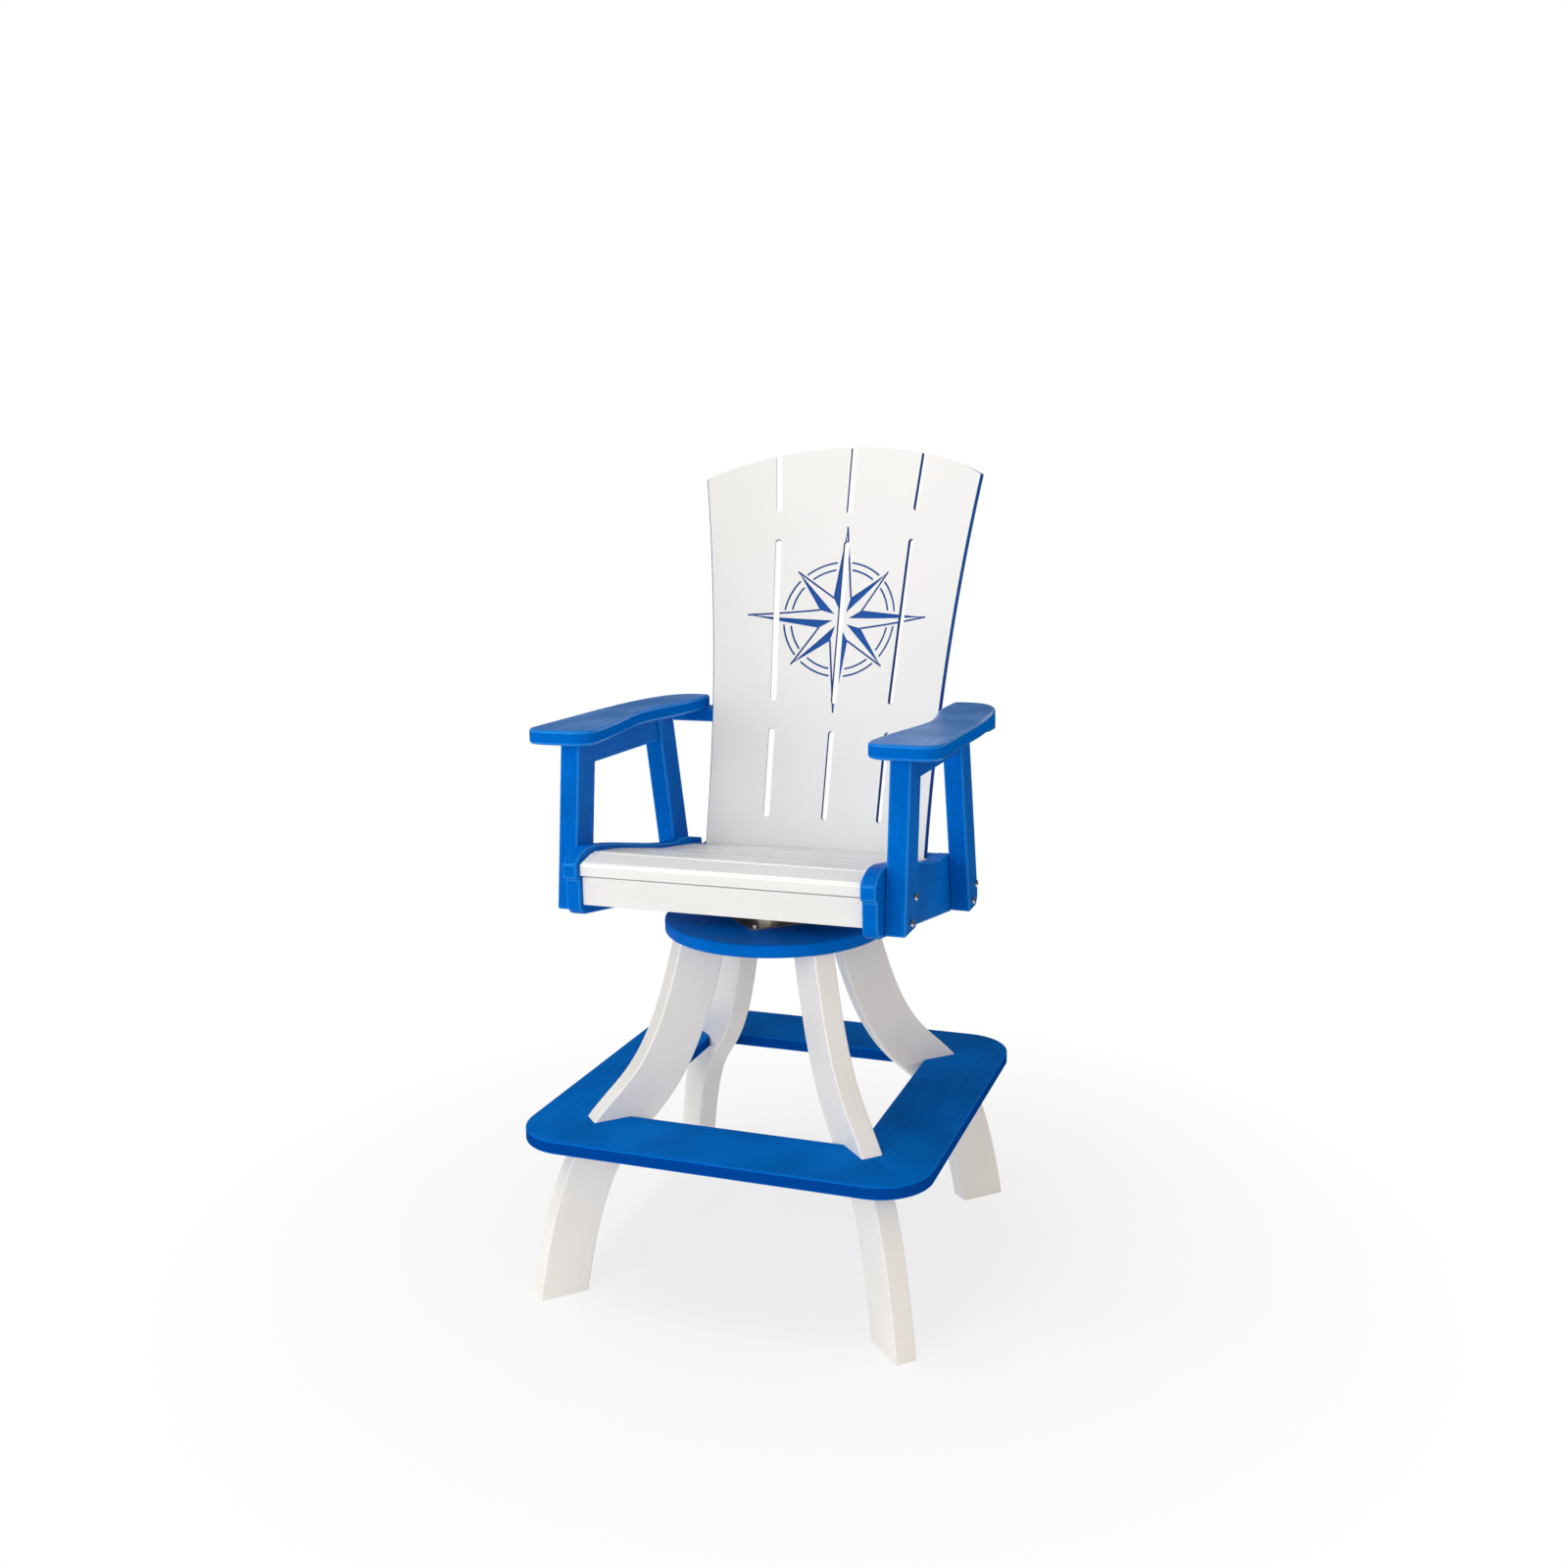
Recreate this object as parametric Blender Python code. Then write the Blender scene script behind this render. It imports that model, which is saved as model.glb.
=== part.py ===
"""Swivel bar chair of two-tone poly lumber: a four-leg base with a footrest ring, a ball-bearing swivel,
and a contoured seat with arms and a bowed, slotted back. Metres, +Z up, the sitter faces -Y."""

import math

import bmesh
import bpy
from mathutils import Matrix, Vector

for leftover in list(bpy.data.objects):
    bpy.data.objects.remove(leftover, do_unlink=True)

# Clearances
GAP = 0.0003  # between pieces that touch
RUN = 0.0006  # between pieces that turn against each other
SLAT_GAP = 0.004  # open joint between seat slats
BACK_GAP = 0.003  # open joint between the rear slat and the back

# The origin is on the floor at the middle of the chair's box, in front of which the swivel axis stands
SWIVEL_Y = -0.0667

# Legs: S-curved boards on the diagonals, radii measured along the diagonal from the swivel axis
LEG_THICK = 0.038
LEG_WIDTH = 0.0845
LEG_TOP_RADIUS = 0.1455
LEG_FOOT_RADIUS = 0.4205
LEG_TOP_SLANT = math.radians(13.7)
LEG_FOOT_SLANT = math.radians(9.7)
LEG_TOP_PULL = 0.422
LEG_FOOT_PULL = 0.4365
LEG_STEPS = 16
LEG_OVERRUN = 0.06  # share of the curve drawn past each end, before the ends are cut level

# Footrest ring of four mitred boards
FOOTREST_SIDE = 0.7112
FOOTREST_WIDTH = 0.1385
FOOTREST_THICK = 0.0225
FOOTREST_TOP = 0.303
FOOTREST_CORNER = 0.089

# Disc on the leg tops
DISC_RADIUS = 0.1966
DISC_THICK = 0.0225
DISC_TOP = 0.6193

# Swivel: two square plates with ball races, a ball ring and a king pin
PLATE_SIDE = 0.168
PLATE_CORNER = 0.010
PLATE_THICK = 0.003
RACE_RADIUS = 0.052
RACE_WIDTH = 0.016
RACE_HEIGHT = 0.006
BALL_RADIUS = 0.00475
BALL_COUNT = 12
CAGE_THICK = 0.0016
RACE_SPACE = 0.003  # between the two races, where the cage runs
PIN_RADIUS = 0.008
PIN_HEAD_RADIUS = 0.013
PIN_HEAD_THICK = 0.004
PIN_NUT_RADIUS = 0.0135
PIN_NUT_THICK = 0.007
PIN_END = 0.0015
PLATE_BOLT_INSET = 0.017  # from a plate's corner to its bolt, along the diagonal

# Boards that bolt the swivel to the seat
MOUNT_BOARD_THICK = 0.035
MOUNT_BOARD_WIDTH = 0.089
MOUNT_BOARD_SPACE = 0.044

# Side rails of the seat, (y, z) along the top from the nose to the rear
RAIL_TOP_LINE = (
    (-0.283, 0.757),
    (-0.264, 0.770),
    (-0.225, 0.776),
    (-0.140, 0.762),
    (-0.030, 0.7375),
    (0.047, 0.720),
    (0.112, 0.7085),
    (0.165, 0.7065),
    (0.240, 0.690),
)
RAIL_THICK = 0.0254
RAIL_OUTER = 0.2678
RAIL_NOSE_DROP = 0.023  # height of the nose's front face
RAIL_NOSE_STEP = 0.010  # overhang of the nose
RAIL_FOOT_ROUND = 0.024
RAIL_FRONT_FOOT = 0.666
RAIL_REAR_FOOT = 0.594
RAIL_REAR_FLAT = 0.050  # level stretch of the rail's lower edge at the rear

# Seat slats, carried between the rails
SLAT_LINES = (-0.272, -0.228, -0.139, -0.050, 0.039, 0.128, 0.250)
SLAT_DROP = 0.008
SLAT_THICK = 0.0222
APRON_FRONT = -0.264
APRON_THICK = 0.0222
APRON_FOOT = 0.685
CLEAT_THICK = 0.0215
CLEAT_HEIGHT = 0.045
CLEAT_REAR = 0.178

# Back: one sheet, bowed about its length, with slots that part it into four strips
BACK_LEAN = math.radians(15.45)
BACK_FOOT_Y = 0.1968
BACK_FOOT_Z = 0.692
BACK_THICK = 0.0095
BACK_FOOT_HALF = 0.215
BACK_CORNER_HALF = 0.272
BACK_CORNER_LENGTH = 0.710
BACK_MIDDLE_LENGTH = 0.788
BACK_TUCK = 0.055  # length below the seat surface
BACK_BOW_FOOT = 0.053
BACK_BOW_TOP = 0.076
SLOT_WIDTH = 0.0115
SLOT_SHARE = 0.505  # place of the outer slots across each half
SLOT_SPANS = ((0.057, 0.229), (0.282, 0.601), (0.656, 0.850))
BACK_EDGE_STEPS = 9
BACK_TOP_STEPS = 16
BACK_COLUMN = 0.025  # width of the flat facets that make up the bow
BACK_ROW = 0.085

# Cross boards behind the back, hollowed to its bow
UPPER_RAIL_HALF = 0.317
UPPER_RAIL_FRONT = 0.282
UPPER_RAIL_REAR = 0.330  # at the ends
UPPER_RAIL_BOW = 0.046
UPPER_RAIL_THICK = 0.0254
LOWER_RAIL_FRONT = 0.200
LOWER_RAIL_REAR = 0.282
LOWER_RAIL_FOOT = 0.641
LOWER_RAIL_THICK = 0.038

# Posts stand on the outer faces of the rails
POST_THICK = 0.035
POST_WIDTH = 0.062
FRONT_POST_Y = -0.240
FRONT_POST_FOOT = 0.667
FRONT_POST_LEAN = math.radians(7.2)
REAR_POST_Y = 0.191
REAR_POST_FOOT = 0.595
REAR_POST_LEAN = math.radians(-12.6)
REAR_POST_ROUND = 0.022

# Arms, tilted down towards the rear, with (x, y) of the right one's curved edges
ARM_TOP = 0.9668  # over the swivel axis
ARM_TILT = math.radians(0.85)
ARM_THICK = 0.0254
ARM_FRONT = -0.239
ARM_FRONT_ROUND = 0.034
ARM_HEEL_ROUND = 0.014
ARM_OUTER_LINE = (
    (0.3556, 0.050),
    (0.351, 0.140),
    (0.342, 0.210),
    (0.328, 0.262),
    (0.306, 0.295),
    (0.280, 0.3075),
    (0.257, 0.308),
)
ARM_INNER_LINE = (
    (0.235, -0.190),
    (0.242, -0.130),
    (0.255, -0.050),
    (0.2655, 0.020),
    (0.2635, 0.075),
    (0.251, 0.150),
    (0.2445, 0.205),
    (0.243, 0.275),
)
ARM_RAIL_THICK = 0.0254
ARM_RAIL_HEIGHT = 0.041

# Screws and bolts: head radius, head height, shank radius
POST_SCREW = (0.0065, 0.0036, 0.0028)
LEG_SCREW = (0.0060, 0.0030, 0.0032)
PLATE_BOLT = (0.0068, 0.0045, 0.0030)
POST_SCREW_LENGTH = 0.052
POST_SCREW_SPOTS = {
    "front_upper": (-0.183, 0.720),
    "front_lower": (-0.206, 0.683),
    "rear_upper": (0.235, 0.638),
    "rear_lower": (0.214, 0.612),
}
LEG_SCREW_RADIUS = 0.145
LEG_SCREW_LENGTH = 0.060
LEG_SCREW_SINK = 0.0008
PLATE_BOLT_LENGTH = 0.018
SCREW_SIDES = 8

# Eased edges and facets
BOARD_EASE = 0.0035
ARM_EASE = 0.005
SMALL_EASE = 0.002
EASE_STEPS = 2
SHARP_ANGLE = math.radians(35)
CORNER_STEPS = 6
DISC_STEPS = 48
RACE_STEPS = 32
GROOVE_STEPS = 6
BALL_STEPS = 8
CURVE_STEPS = 3

# Places worked out from the sizes above
HALF = FOOTREST_SIDE / 2
LEG_TOP = DISC_TOP - DISC_THICK - GAP
RAIL_INNER = RAIL_OUTER - RAIL_THICK
SLAT_HALF = RAIL_INNER - GAP
CLEAT_INNER = SLAT_HALF - CLEAT_THICK
POST_INNER = RAIL_OUTER + GAP
POST_OUTER = POST_INNER + POST_THICK
LOWER_PLATE = DISC_TOP + GAP
LOWER_RACE = LOWER_PLATE + PLATE_THICK + RACE_HEIGHT
UPPER_RACE = LOWER_RACE + RACE_SPACE
UPPER_PLATE = UPPER_RACE + RACE_HEIGHT
UPPER_PLATE_TOP = UPPER_PLATE + PLATE_THICK
BALL_HEIGHT = (LOWER_RACE + UPPER_RACE) / 2
MOUNT_BOARD_FOOT = UPPER_PLATE_TOP + GAP
BOLT_RADIUS = PLATE_SIDE / math.sqrt(2) - PLATE_BOLT_INSET


def material(name, colour, roughness, metallic):
    made = bpy.data.materials.new(name)
    made.use_nodes = True
    shader = made.node_tree.nodes["Principled BSDF"]
    shader.inputs["Base Color"].default_value = (*colour, 1)
    shader.inputs["Roughness"].default_value = roughness
    shader.inputs["Metallic"].default_value = metallic
    return made


BLUE = material("blue_poly_lumber", (0.005, 0.095, 0.45), 0.45, 0)
WHITE = material("white_poly_lumber", (0.80, 0.80, 0.80), 0.45, 0)
STEEL = material("stainless_steel", (0.60, 0.60, 0.58), 0.30, 1)
ZINC = material("zinc_plated_steel", (0.45, 0.42, 0.38), 0.40, 1)


def root(name):
    """Empty on the swivel axis that carries one rigid body."""
    empty = bpy.data.objects.new(name, None)
    empty.location = (0, SWIVEL_Y, 0)
    bpy.context.scene.collection.objects.link(empty)
    return empty


BASE = root("base_root")
RING = root("ball_ring_root")
SEAT = root("seat_root")


def piece(name, shape, body, finish):
    """Turns a bmesh into a named object on a body."""
    mesh = bpy.data.meshes.new(name)
    shape.to_mesh(mesh)
    shape.free()
    mesh.materials.append(finish)
    mesh.shade_smooth()
    mesh.set_sharp_from_angle(angle=SHARP_ANGLE)
    made = bpy.data.objects.new(name, mesh)
    bpy.context.scene.collection.objects.link(made)
    made.parent = body
    return made


def helper(name, shape, body):
    """A cutting shape, left out of the finished chair."""
    made = piece(name, shape, body, ZINC)
    made.hide_render = True
    made.display_type = "WIRE"
    return made


def boolean(target, tool, operation="DIFFERENCE"):
    change = target.modifiers.new(tool.name, "BOOLEAN")
    change.operation = operation
    change.solver = "EXACT"
    change.object = tool


def arc(centre_x, centre_y, radius, start, end, steps=CORNER_STEPS):
    """Points on an arc, with its angles in degrees."""
    angles = [math.radians(start + (end - start) * step / steps) for step in range(steps + 1)]
    return [(centre_x + radius * math.cos(a), centre_y + radius * math.sin(a)) for a in angles]


def flow(points, steps=CURVE_STEPS):
    """Points on a smooth curve through the given ones."""
    knots = [Vector(point) for point in points]
    knots = [2 * knots[0] - knots[1], *knots, 2 * knots[-1] - knots[-2]]
    found = []
    for a, b, c, d in zip(knots, knots[1:], knots[2:], knots[3:]):
        for step in range(steps):
            t = step / steps
            bend = (2 * a - 5 * b + 4 * c - d) * t * t + (3 * b - a - 3 * c + d) * t**3
            found.append(tuple((2 * b + (c - a) * t + bend) / 2))
    return [*found, tuple(knots[-2])]


def outward(shape):
    """Turns the faces of a closed shape outward."""
    if shape.calc_volume(signed=True) < 0:
        bmesh.ops.reverse_faces(shape, faces=shape.faces)
    shape.normal_update()
    return shape


def prism(outline, low, high, along="Z"):
    """Closed solid of an outline, drawn in XY, YZ or XZ and pushed out along the third axis."""
    put = {
        "Z": lambda u, v, w: (u, v, w),
        "X": lambda u, v, w: (w, u, v),
        "Y": lambda u, v, w: (u, w, v),
    }[along]
    shape = bmesh.new()
    near = [shape.verts.new(put(u, v, low)) for u, v in outline]
    far = [shape.verts.new(put(u, v, high)) for u, v in outline]
    shape.faces.new(near[::-1])
    shape.faces.new(far)
    for index, start in enumerate(near):
        after = (index + 1) % len(near)
        shape.faces.new((start, near[after], far[after], far[index]))
    return outward(shape)


def ease(shape, width, sharp=lambda face: False):
    """Rounds the edges that turn by more than the sharp angle, apart from those of the faces kept sharp."""
    edges = []
    for edge in shape.edges:
        turn = edge.calc_face_angle(0)
        if turn > SHARP_ANGLE and not any(sharp(face) for face in edge.link_faces):
            edges.append(edge)
    bmesh.ops.bevel(
        shape, geom=edges, offset=width, segments=EASE_STEPS, profile=0.5, affect="EDGES", clamp_overlap=True
    )
    return shape


def turned(shape, profile, steps, place=Matrix(), ring=False):
    """Adds the solid that a profile of (radius, height) makes round Z. A ring's profile closes on itself."""
    loops = []
    for radius, height in profile:
        count = steps if radius else 1
        turns = [math.tau * step / count for step in range(count)]
        spots = [Vector((radius * math.cos(a), radius * math.sin(a), height)) for a in turns]
        loops.append([shape.verts.new(place @ spot) for spot in spots])
    for upper, lower in zip(loops, loops[1:] + loops[:1] if ring else loops[1:]):
        for step in range(steps):
            after = (step + 1) % steps
            corners = [upper[step % len(upper)], lower[step % len(lower)]]
            corners += [lower[after % len(lower)], upper[after % len(upper)]]
            shape.faces.new(dict.fromkeys(corners))
    return outward(shape)


def fasten(size, places, body, through, sunk=False):
    """Like screws, named and placed by (seat, direction, length), with holes in the pieces they pass
    through. A sunk head lies in a hole as wide as itself."""
    head, height, shank = size
    holes = bmesh.new()
    for name, (seat, direction, length) in places.items():
        turn = (-Vector(direction)).to_track_quat("Z", "Y").to_matrix().to_4x4()
        place = Matrix.Translation(seat) @ turn
        cap = [(0, height), (0.6 * head, height), (head, 0.35 * height), (head, 0)]
        screw = [*cap, (shank, 0), (shank, -length), (0, -length)]
        piece(name, turned(bmesh.new(), screw, SCREW_SIDES, place), body, STEEL)
        above = 2 * height
        bore = [(shank + GAP, above), (shank + GAP, -length - GAP), (0, -length - GAP)]
        if sunk:
            bore = [(head + GAP, above), (head + GAP, -GAP), (shank + GAP, -GAP), *bore[1:]]
        turned(holes, [(0, above), *bore], SCREW_SIDES, place)
    drill = helper("holes_for_" + name, holes, body)
    for target in through:
        boolean(target, drill)


def leg_shape(grow=0.0):
    """A leg lying along +X, grown all round by a clearance and still running past the floor and the disc."""
    top = Vector((LEG_TOP_RADIUS, LEG_TOP))
    foot = Vector((LEG_FOOT_RADIUS, 0))
    top_pull = top + LEG_TOP_PULL * Vector((math.sin(LEG_TOP_SLANT), -math.cos(LEG_TOP_SLANT)))
    foot_pull = foot - LEG_FOOT_PULL * Vector((math.sin(LEG_FOOT_SLANT), -math.cos(LEG_FOOT_SLANT)))
    outer = []
    inner = []
    for step in range(LEG_STEPS + 1):
        t = step / LEG_STEPS * (1 + 2 * LEG_OVERRUN) - LEG_OVERRUN
        u = 1 - t
        centre = u**3 * top + 3 * u * u * t * top_pull + 3 * u * t * t * foot_pull + t**3 * foot
        run = u * u * (top_pull - top) + 2 * u * t * (foot_pull - top_pull) + t * t * (foot - foot_pull)
        side = Vector((-run.y, run.x)).normalized() * (LEG_WIDTH / 2 + grow)
        outer.append(tuple(centre + side))
        inner.append(tuple(centre - side))
    return prism(outer + inner[::-1], -LEG_THICK / 2 - grow, LEG_THICK / 2 + grow, along="Y")


def level_cut(shape, height, upward):
    """Cuts a shape off level and closes it there."""
    everything = shape.verts[:] + shape.edges[:] + shape.faces[:]
    bmesh.ops.bisect_plane(
        shape, geom=everything, plane_co=(0, 0, height), plane_no=(0, 0, upward), clear_outer=True
    )
    bmesh.ops.holes_fill(shape, edges=[edge for edge in shape.edges if edge.is_boundary])
    bmesh.ops.recalc_face_normals(shape, faces=shape.faces)


LEG_ANGLES = {"front_left": 225, "front_right": 315, "rear_left": 135, "rear_right": 45}
legs = {}
leg_notches = {}
for corner, degrees in LEG_ANGLES.items():
    swing = Matrix.Rotation(math.radians(degrees), 4, "Z")
    leg = leg_shape()
    level_cut(leg, LEG_TOP, 1)
    level_cut(leg, 0, -1)
    ease(leg, BOARD_EASE)
    leg.transform(swing)
    legs[corner] = piece("leg_" + corner, leg, BASE, WHITE)
    notch = leg_shape(grow=GAP)
    notch.transform(swing)
    leg_notches[corner] = helper("leg_notch_" + corner, notch, BASE)


def footrest_board():
    """The front board of the ring, mitred at both ends and rounded at the outer corners."""
    middle = HALF - FOOTREST_CORNER
    inner = HALF - FOOTREST_WIDTH
    part = math.degrees(math.asin(GAP / 2 / FOOTREST_CORNER))
    set_back = GAP / math.sqrt(2)
    outline = [(set_back - inner, -inner)]
    outline += arc(-middle, -middle, FOOTREST_CORNER, 225 + part, 270)
    outline += arc(middle, -middle, FOOTREST_CORNER, 270, 315 - part)
    outline += [(inner - set_back, -inner)]
    board = prism(outline, FOOTREST_TOP - FOOTREST_THICK, FOOTREST_TOP)
    return ease(board, BOARD_EASE, sharp=lambda face: abs(face.normal.x) > 0.5 and face.normal.y > 0.5)


FOOTREST_TURNS = {
    "front": (0, "front_left", "front_right"),
    "right": (90, "front_right", "rear_right"),
    "rear": (180, "rear_right", "rear_left"),
    "left": (270, "rear_left", "front_left"),
}
footrest = {}
for side, (degrees, *ends) in FOOTREST_TURNS.items():
    board = footrest_board()
    board.transform(Matrix.Rotation(math.radians(degrees), 4, "Z"))
    footrest[side] = piece("footrest_" + side, board, BASE, BLUE)
    for end in ends:
        boolean(footrest[side], leg_notches[end])


def disc_shape():
    """Round board with eased rims and a sunk seat for the king pin's head."""
    foot = DISC_TOP - DISC_THICK
    rim = DISC_RADIUS - BOARD_EASE
    seat = PIN_HEAD_RADIUS + GAP
    floor = DISC_TOP - PIN_HEAD_THICK - GAP
    profile = [(0, floor), (seat, floor), (seat, DISC_TOP)]
    profile += arc(rim, DISC_TOP - BOARD_EASE, BOARD_EASE, 90, 0, EASE_STEPS)
    profile += arc(rim, foot + BOARD_EASE, BOARD_EASE, 0, -90, EASE_STEPS)
    return turned(bmesh.new(), [*profile, (0, foot)], DISC_STEPS)


base_disc = piece("base_disc", disc_shape(), BASE, BLUE)


def race_ring(root_height, face_height):
    """Ring with a round groove for the balls in the face turned away from its plate."""
    inside = RACE_RADIUS - RACE_WIDTH / 2
    outside = RACE_RADIUS + RACE_WIDTH / 2
    groove = BALL_RADIUS + RUN
    up = 1 if face_height > root_height else -1
    lip = math.degrees(math.asin(RACE_SPACE / 2 / groove))
    trough = arc(RACE_RADIUS, BALL_HEIGHT, groove, up * (180 + lip), up * (360 - lip), GROOVE_STEPS)
    buried = root_height - up * PLATE_THICK / 2
    profile = [(outside, buried), (inside, buried), (inside, face_height), *trough, (outside, face_height)]
    return turned(bmesh.new(), profile, RACE_STEPS, ring=True)


def swivel_plate(name, body, foot, root_height, face_height, degrees, bore):
    """Square plate with its race, bored for the king pin."""
    middle = PLATE_SIDE / 2 - PLATE_CORNER
    outline = []
    for turn in (0, 90, 180, 270):
        spin = Matrix.Rotation(math.radians(turn), 2)
        corner = arc(middle, middle, PLATE_CORNER, 0, 90, EASE_STEPS)
        outline += [tuple(spin @ Vector(spot)) for spot in corner]
    plate = prism(outline, foot, foot + PLATE_THICK)
    plate.transform(Matrix.Rotation(math.radians(degrees), 4, "Z"))
    made = piece(name, plate, body, ZINC)
    boolean(made, helper(name + "_race", race_ring(root_height, face_height), body), "UNION")
    hole = [(0, foot + 2 * PLATE_THICK), (bore, foot + 2 * PLATE_THICK), (bore, foot - PLATE_THICK)]
    shape = turned(bmesh.new(), [*hole, (0, foot - PLATE_THICK)], RACE_STEPS)
    boolean(made, helper(name + "_bore", shape, body))
    return made


lower_plate = swivel_plate(
    "swivel_lower_plate", BASE, LOWER_PLATE, LOWER_PLATE + PLATE_THICK, LOWER_RACE, 45, PIN_RADIUS + GAP
)
upper_plate = swivel_plate(
    "swivel_upper_plate", SEAT, UPPER_PLATE, UPPER_PLATE, UPPER_RACE, 0, PIN_RADIUS + RUN
)


def pin_shape():
    nut_top = UPPER_PLATE_TOP + RUN + PIN_NUT_THICK
    profile = [(0, nut_top + PIN_END), (PIN_RADIUS, nut_top + PIN_END), (PIN_RADIUS, DISC_TOP)]
    head = [(PIN_HEAD_RADIUS, DISC_TOP), (PIN_HEAD_RADIUS, DISC_TOP - PIN_HEAD_THICK)]
    return turned(bmesh.new(), [*profile, *head, (0, DISC_TOP - PIN_HEAD_THICK)], RACE_STEPS)


def nut_shape():
    """Six-sided nut on the king pin, holding the upper plate down with running clearance."""
    low = UPPER_PLATE_TOP + RUN
    return prism(arc(0, 0, PIN_NUT_RADIUS, 0, 300, 5), low, low + PIN_NUT_THICK)


piece("swivel_pin", pin_shape(), BASE, ZINC)
pin_nut = piece("swivel_pin_nut", nut_shape(), BASE, ZINC)
bore_top = MOUNT_BOARD_FOOT + MOUNT_BOARD_THICK
nut_bore = [(0, bore_top), (PIN_RADIUS + GAP, bore_top), (PIN_RADIUS + GAP, DISC_TOP), (0, DISC_TOP)]
boolean(pin_nut, helper("swivel_pin_nut_bore", turned(bmesh.new(), nut_bore, RACE_STEPS), BASE))


def ball_ring():
    """Flat cage and the balls it carries, as one turning piece."""
    inside = RACE_RADIUS - RACE_WIDTH / 2
    outside = RACE_RADIUS + RACE_WIDTH / 2
    low = BALL_HEIGHT - CAGE_THICK / 2
    high = BALL_HEIGHT + CAGE_THICK / 2
    profile = [(inside, high), (outside, high), (outside, low), (inside, low)]
    cage = piece("ball_ring", turned(bmesh.new(), profile, RACE_STEPS, ring=True), RING, STEEL)
    balls = bmesh.new()
    for index in range(BALL_COUNT):
        angle = math.tau * index / BALL_COUNT
        spot = Vector((RACE_RADIUS * math.cos(angle), RACE_RADIUS * math.sin(angle), BALL_HEIGHT))
        bmesh.ops.create_uvsphere(
            balls,
            u_segments=BALL_STEPS,
            v_segments=BALL_STEPS - 2,
            radius=BALL_RADIUS,
            matrix=Matrix.Translation(spot),
        )
    boolean(cage, helper("balls", balls, RING), "UNION")


ball_ring()


def box_board(name, body, finish, low, high, width=BOARD_EASE):
    """Straight board between two corners, with eased edges."""
    outline = [(low[0], low[1]), (high[0], low[1]), (high[0], high[1]), (low[0], high[1])]
    return piece(name, ease(prism(outline, low[2], high[2]), width), body, finish)


mount_boards = []
for word, side in (("front", -1), ("rear", 1)):
    near = MOUNT_BOARD_SPACE / 2
    far = near + MOUNT_BOARD_WIDTH
    low_y, high_y = sorted((side * near, side * far))
    half = CLEAT_INNER - GAP
    low = (-half, low_y, MOUNT_BOARD_FOOT)
    high = (half, high_y, MOUNT_BOARD_FOOT + MOUNT_BOARD_THICK)
    mount_boards.append(box_board("mounting_board_" + word, SEAT, WHITE, low, high, SMALL_EASE))

RAIL_TOP_CURVE = flow(RAIL_TOP_LINE)


def rail_top(y):
    """Height of the rails' top edge at a depth."""
    for (y0, z0), (y1, z1) in zip(RAIL_TOP_CURVE, RAIL_TOP_CURVE[1:]):
        if y <= y1:
            break
    return z0 + (z1 - z0) * (y - y0) / (y1 - y0)


def rail_outline():
    """Side outline of a seat rail: contoured top, stepped nose, sloping foot."""
    nose_y, nose_z = RAIL_TOP_LINE[0]
    rear_y, _ = RAIL_TOP_LINE[-1]
    front = nose_y + RAIL_NOSE_STEP
    under = nose_z - RAIL_NOSE_DROP
    foot = arc(front + RAIL_FOOT_ROUND, RAIL_FRONT_FOOT + RAIL_FOOT_ROUND, RAIL_FOOT_ROUND, 262, 180)
    lower = [(rear_y, RAIL_REAR_FOOT), (rear_y - RAIL_REAR_FLAT, RAIL_REAR_FOOT), *foot]
    return [*RAIL_TOP_CURVE, *lower, (front, under - RAIL_NOSE_STEP / 2), (nose_y, under)]


def seat_line(y):
    """Height of the slats' upper faces: straight from joint to joint, a step below the rails."""
    for y0, y1 in zip(SLAT_LINES, SLAT_LINES[1:]):
        if y <= y1:
            break
    z0 = rail_top(y0) - SLAT_DROP
    z1 = rail_top(y1) - SLAT_DROP
    return z0 + (z1 - z0) * (y - y0) / (y1 - y0)


def cleat_outline():
    """Strip under the slats, from the apron's back to short of the back's edge."""
    front = APRON_FRONT + APRON_THICK + GAP
    spots = [front, *(y for y in SLAT_LINES if front < y < CLEAT_REAR), CLEAT_REAR]
    top = [(y, seat_line(y) - SLAT_THICK - GAP) for y in spots]
    return top + [(y, z - CLEAT_HEIGHT) for y, z in reversed(top)]


rails = {}
cleats = {}
for side, sign in (("left", -1), ("right", 1)):
    low, high = sorted((sign * RAIL_INNER, sign * RAIL_OUTER))
    shape = ease(prism(rail_outline(), low, high, along="X"), BOARD_EASE)
    rails[side] = piece("seat_rail_" + side, shape, SEAT, BLUE)
    low, high = sorted((sign * CLEAT_INNER, sign * SLAT_HALF))
    shape = prism(cleat_outline(), low, high, along="X")
    cleats[side] = piece("seat_cleat_" + side, shape, SEAT, WHITE)

apron_top = seat_line(APRON_FRONT) - SLAT_THICK - GAP
apron = box_board(
    "seat_apron",
    SEAT,
    WHITE,
    (-SLAT_HALF, APRON_FRONT, APRON_FOOT),
    (SLAT_HALF, APRON_FRONT + APRON_THICK, apron_top),
    SMALL_EASE,
)


def back_half(length):
    """Half width of the back across its edges, at a length up from the seat."""
    flare = (BACK_CORNER_HALF - BACK_FOOT_HALF) / BACK_CORNER_LENGTH**2
    return BACK_FOOT_HALF + flare * max(length, 0) ** 2


def back_radius(length):
    """Radius of the bow, whose depth grows towards the top."""
    half = back_half(length)
    bow = BACK_BOW_FOOT + (BACK_BOW_TOP - BACK_BOW_FOOT) * length / BACK_MIDDLE_LENGTH
    return (half * half + bow * bow) / (2 * bow)


def back_reach(length):
    """Half width of the sheet laid flat."""
    radius = back_radius(length)
    return radius * math.asin(back_half(length) / radius)


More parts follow.
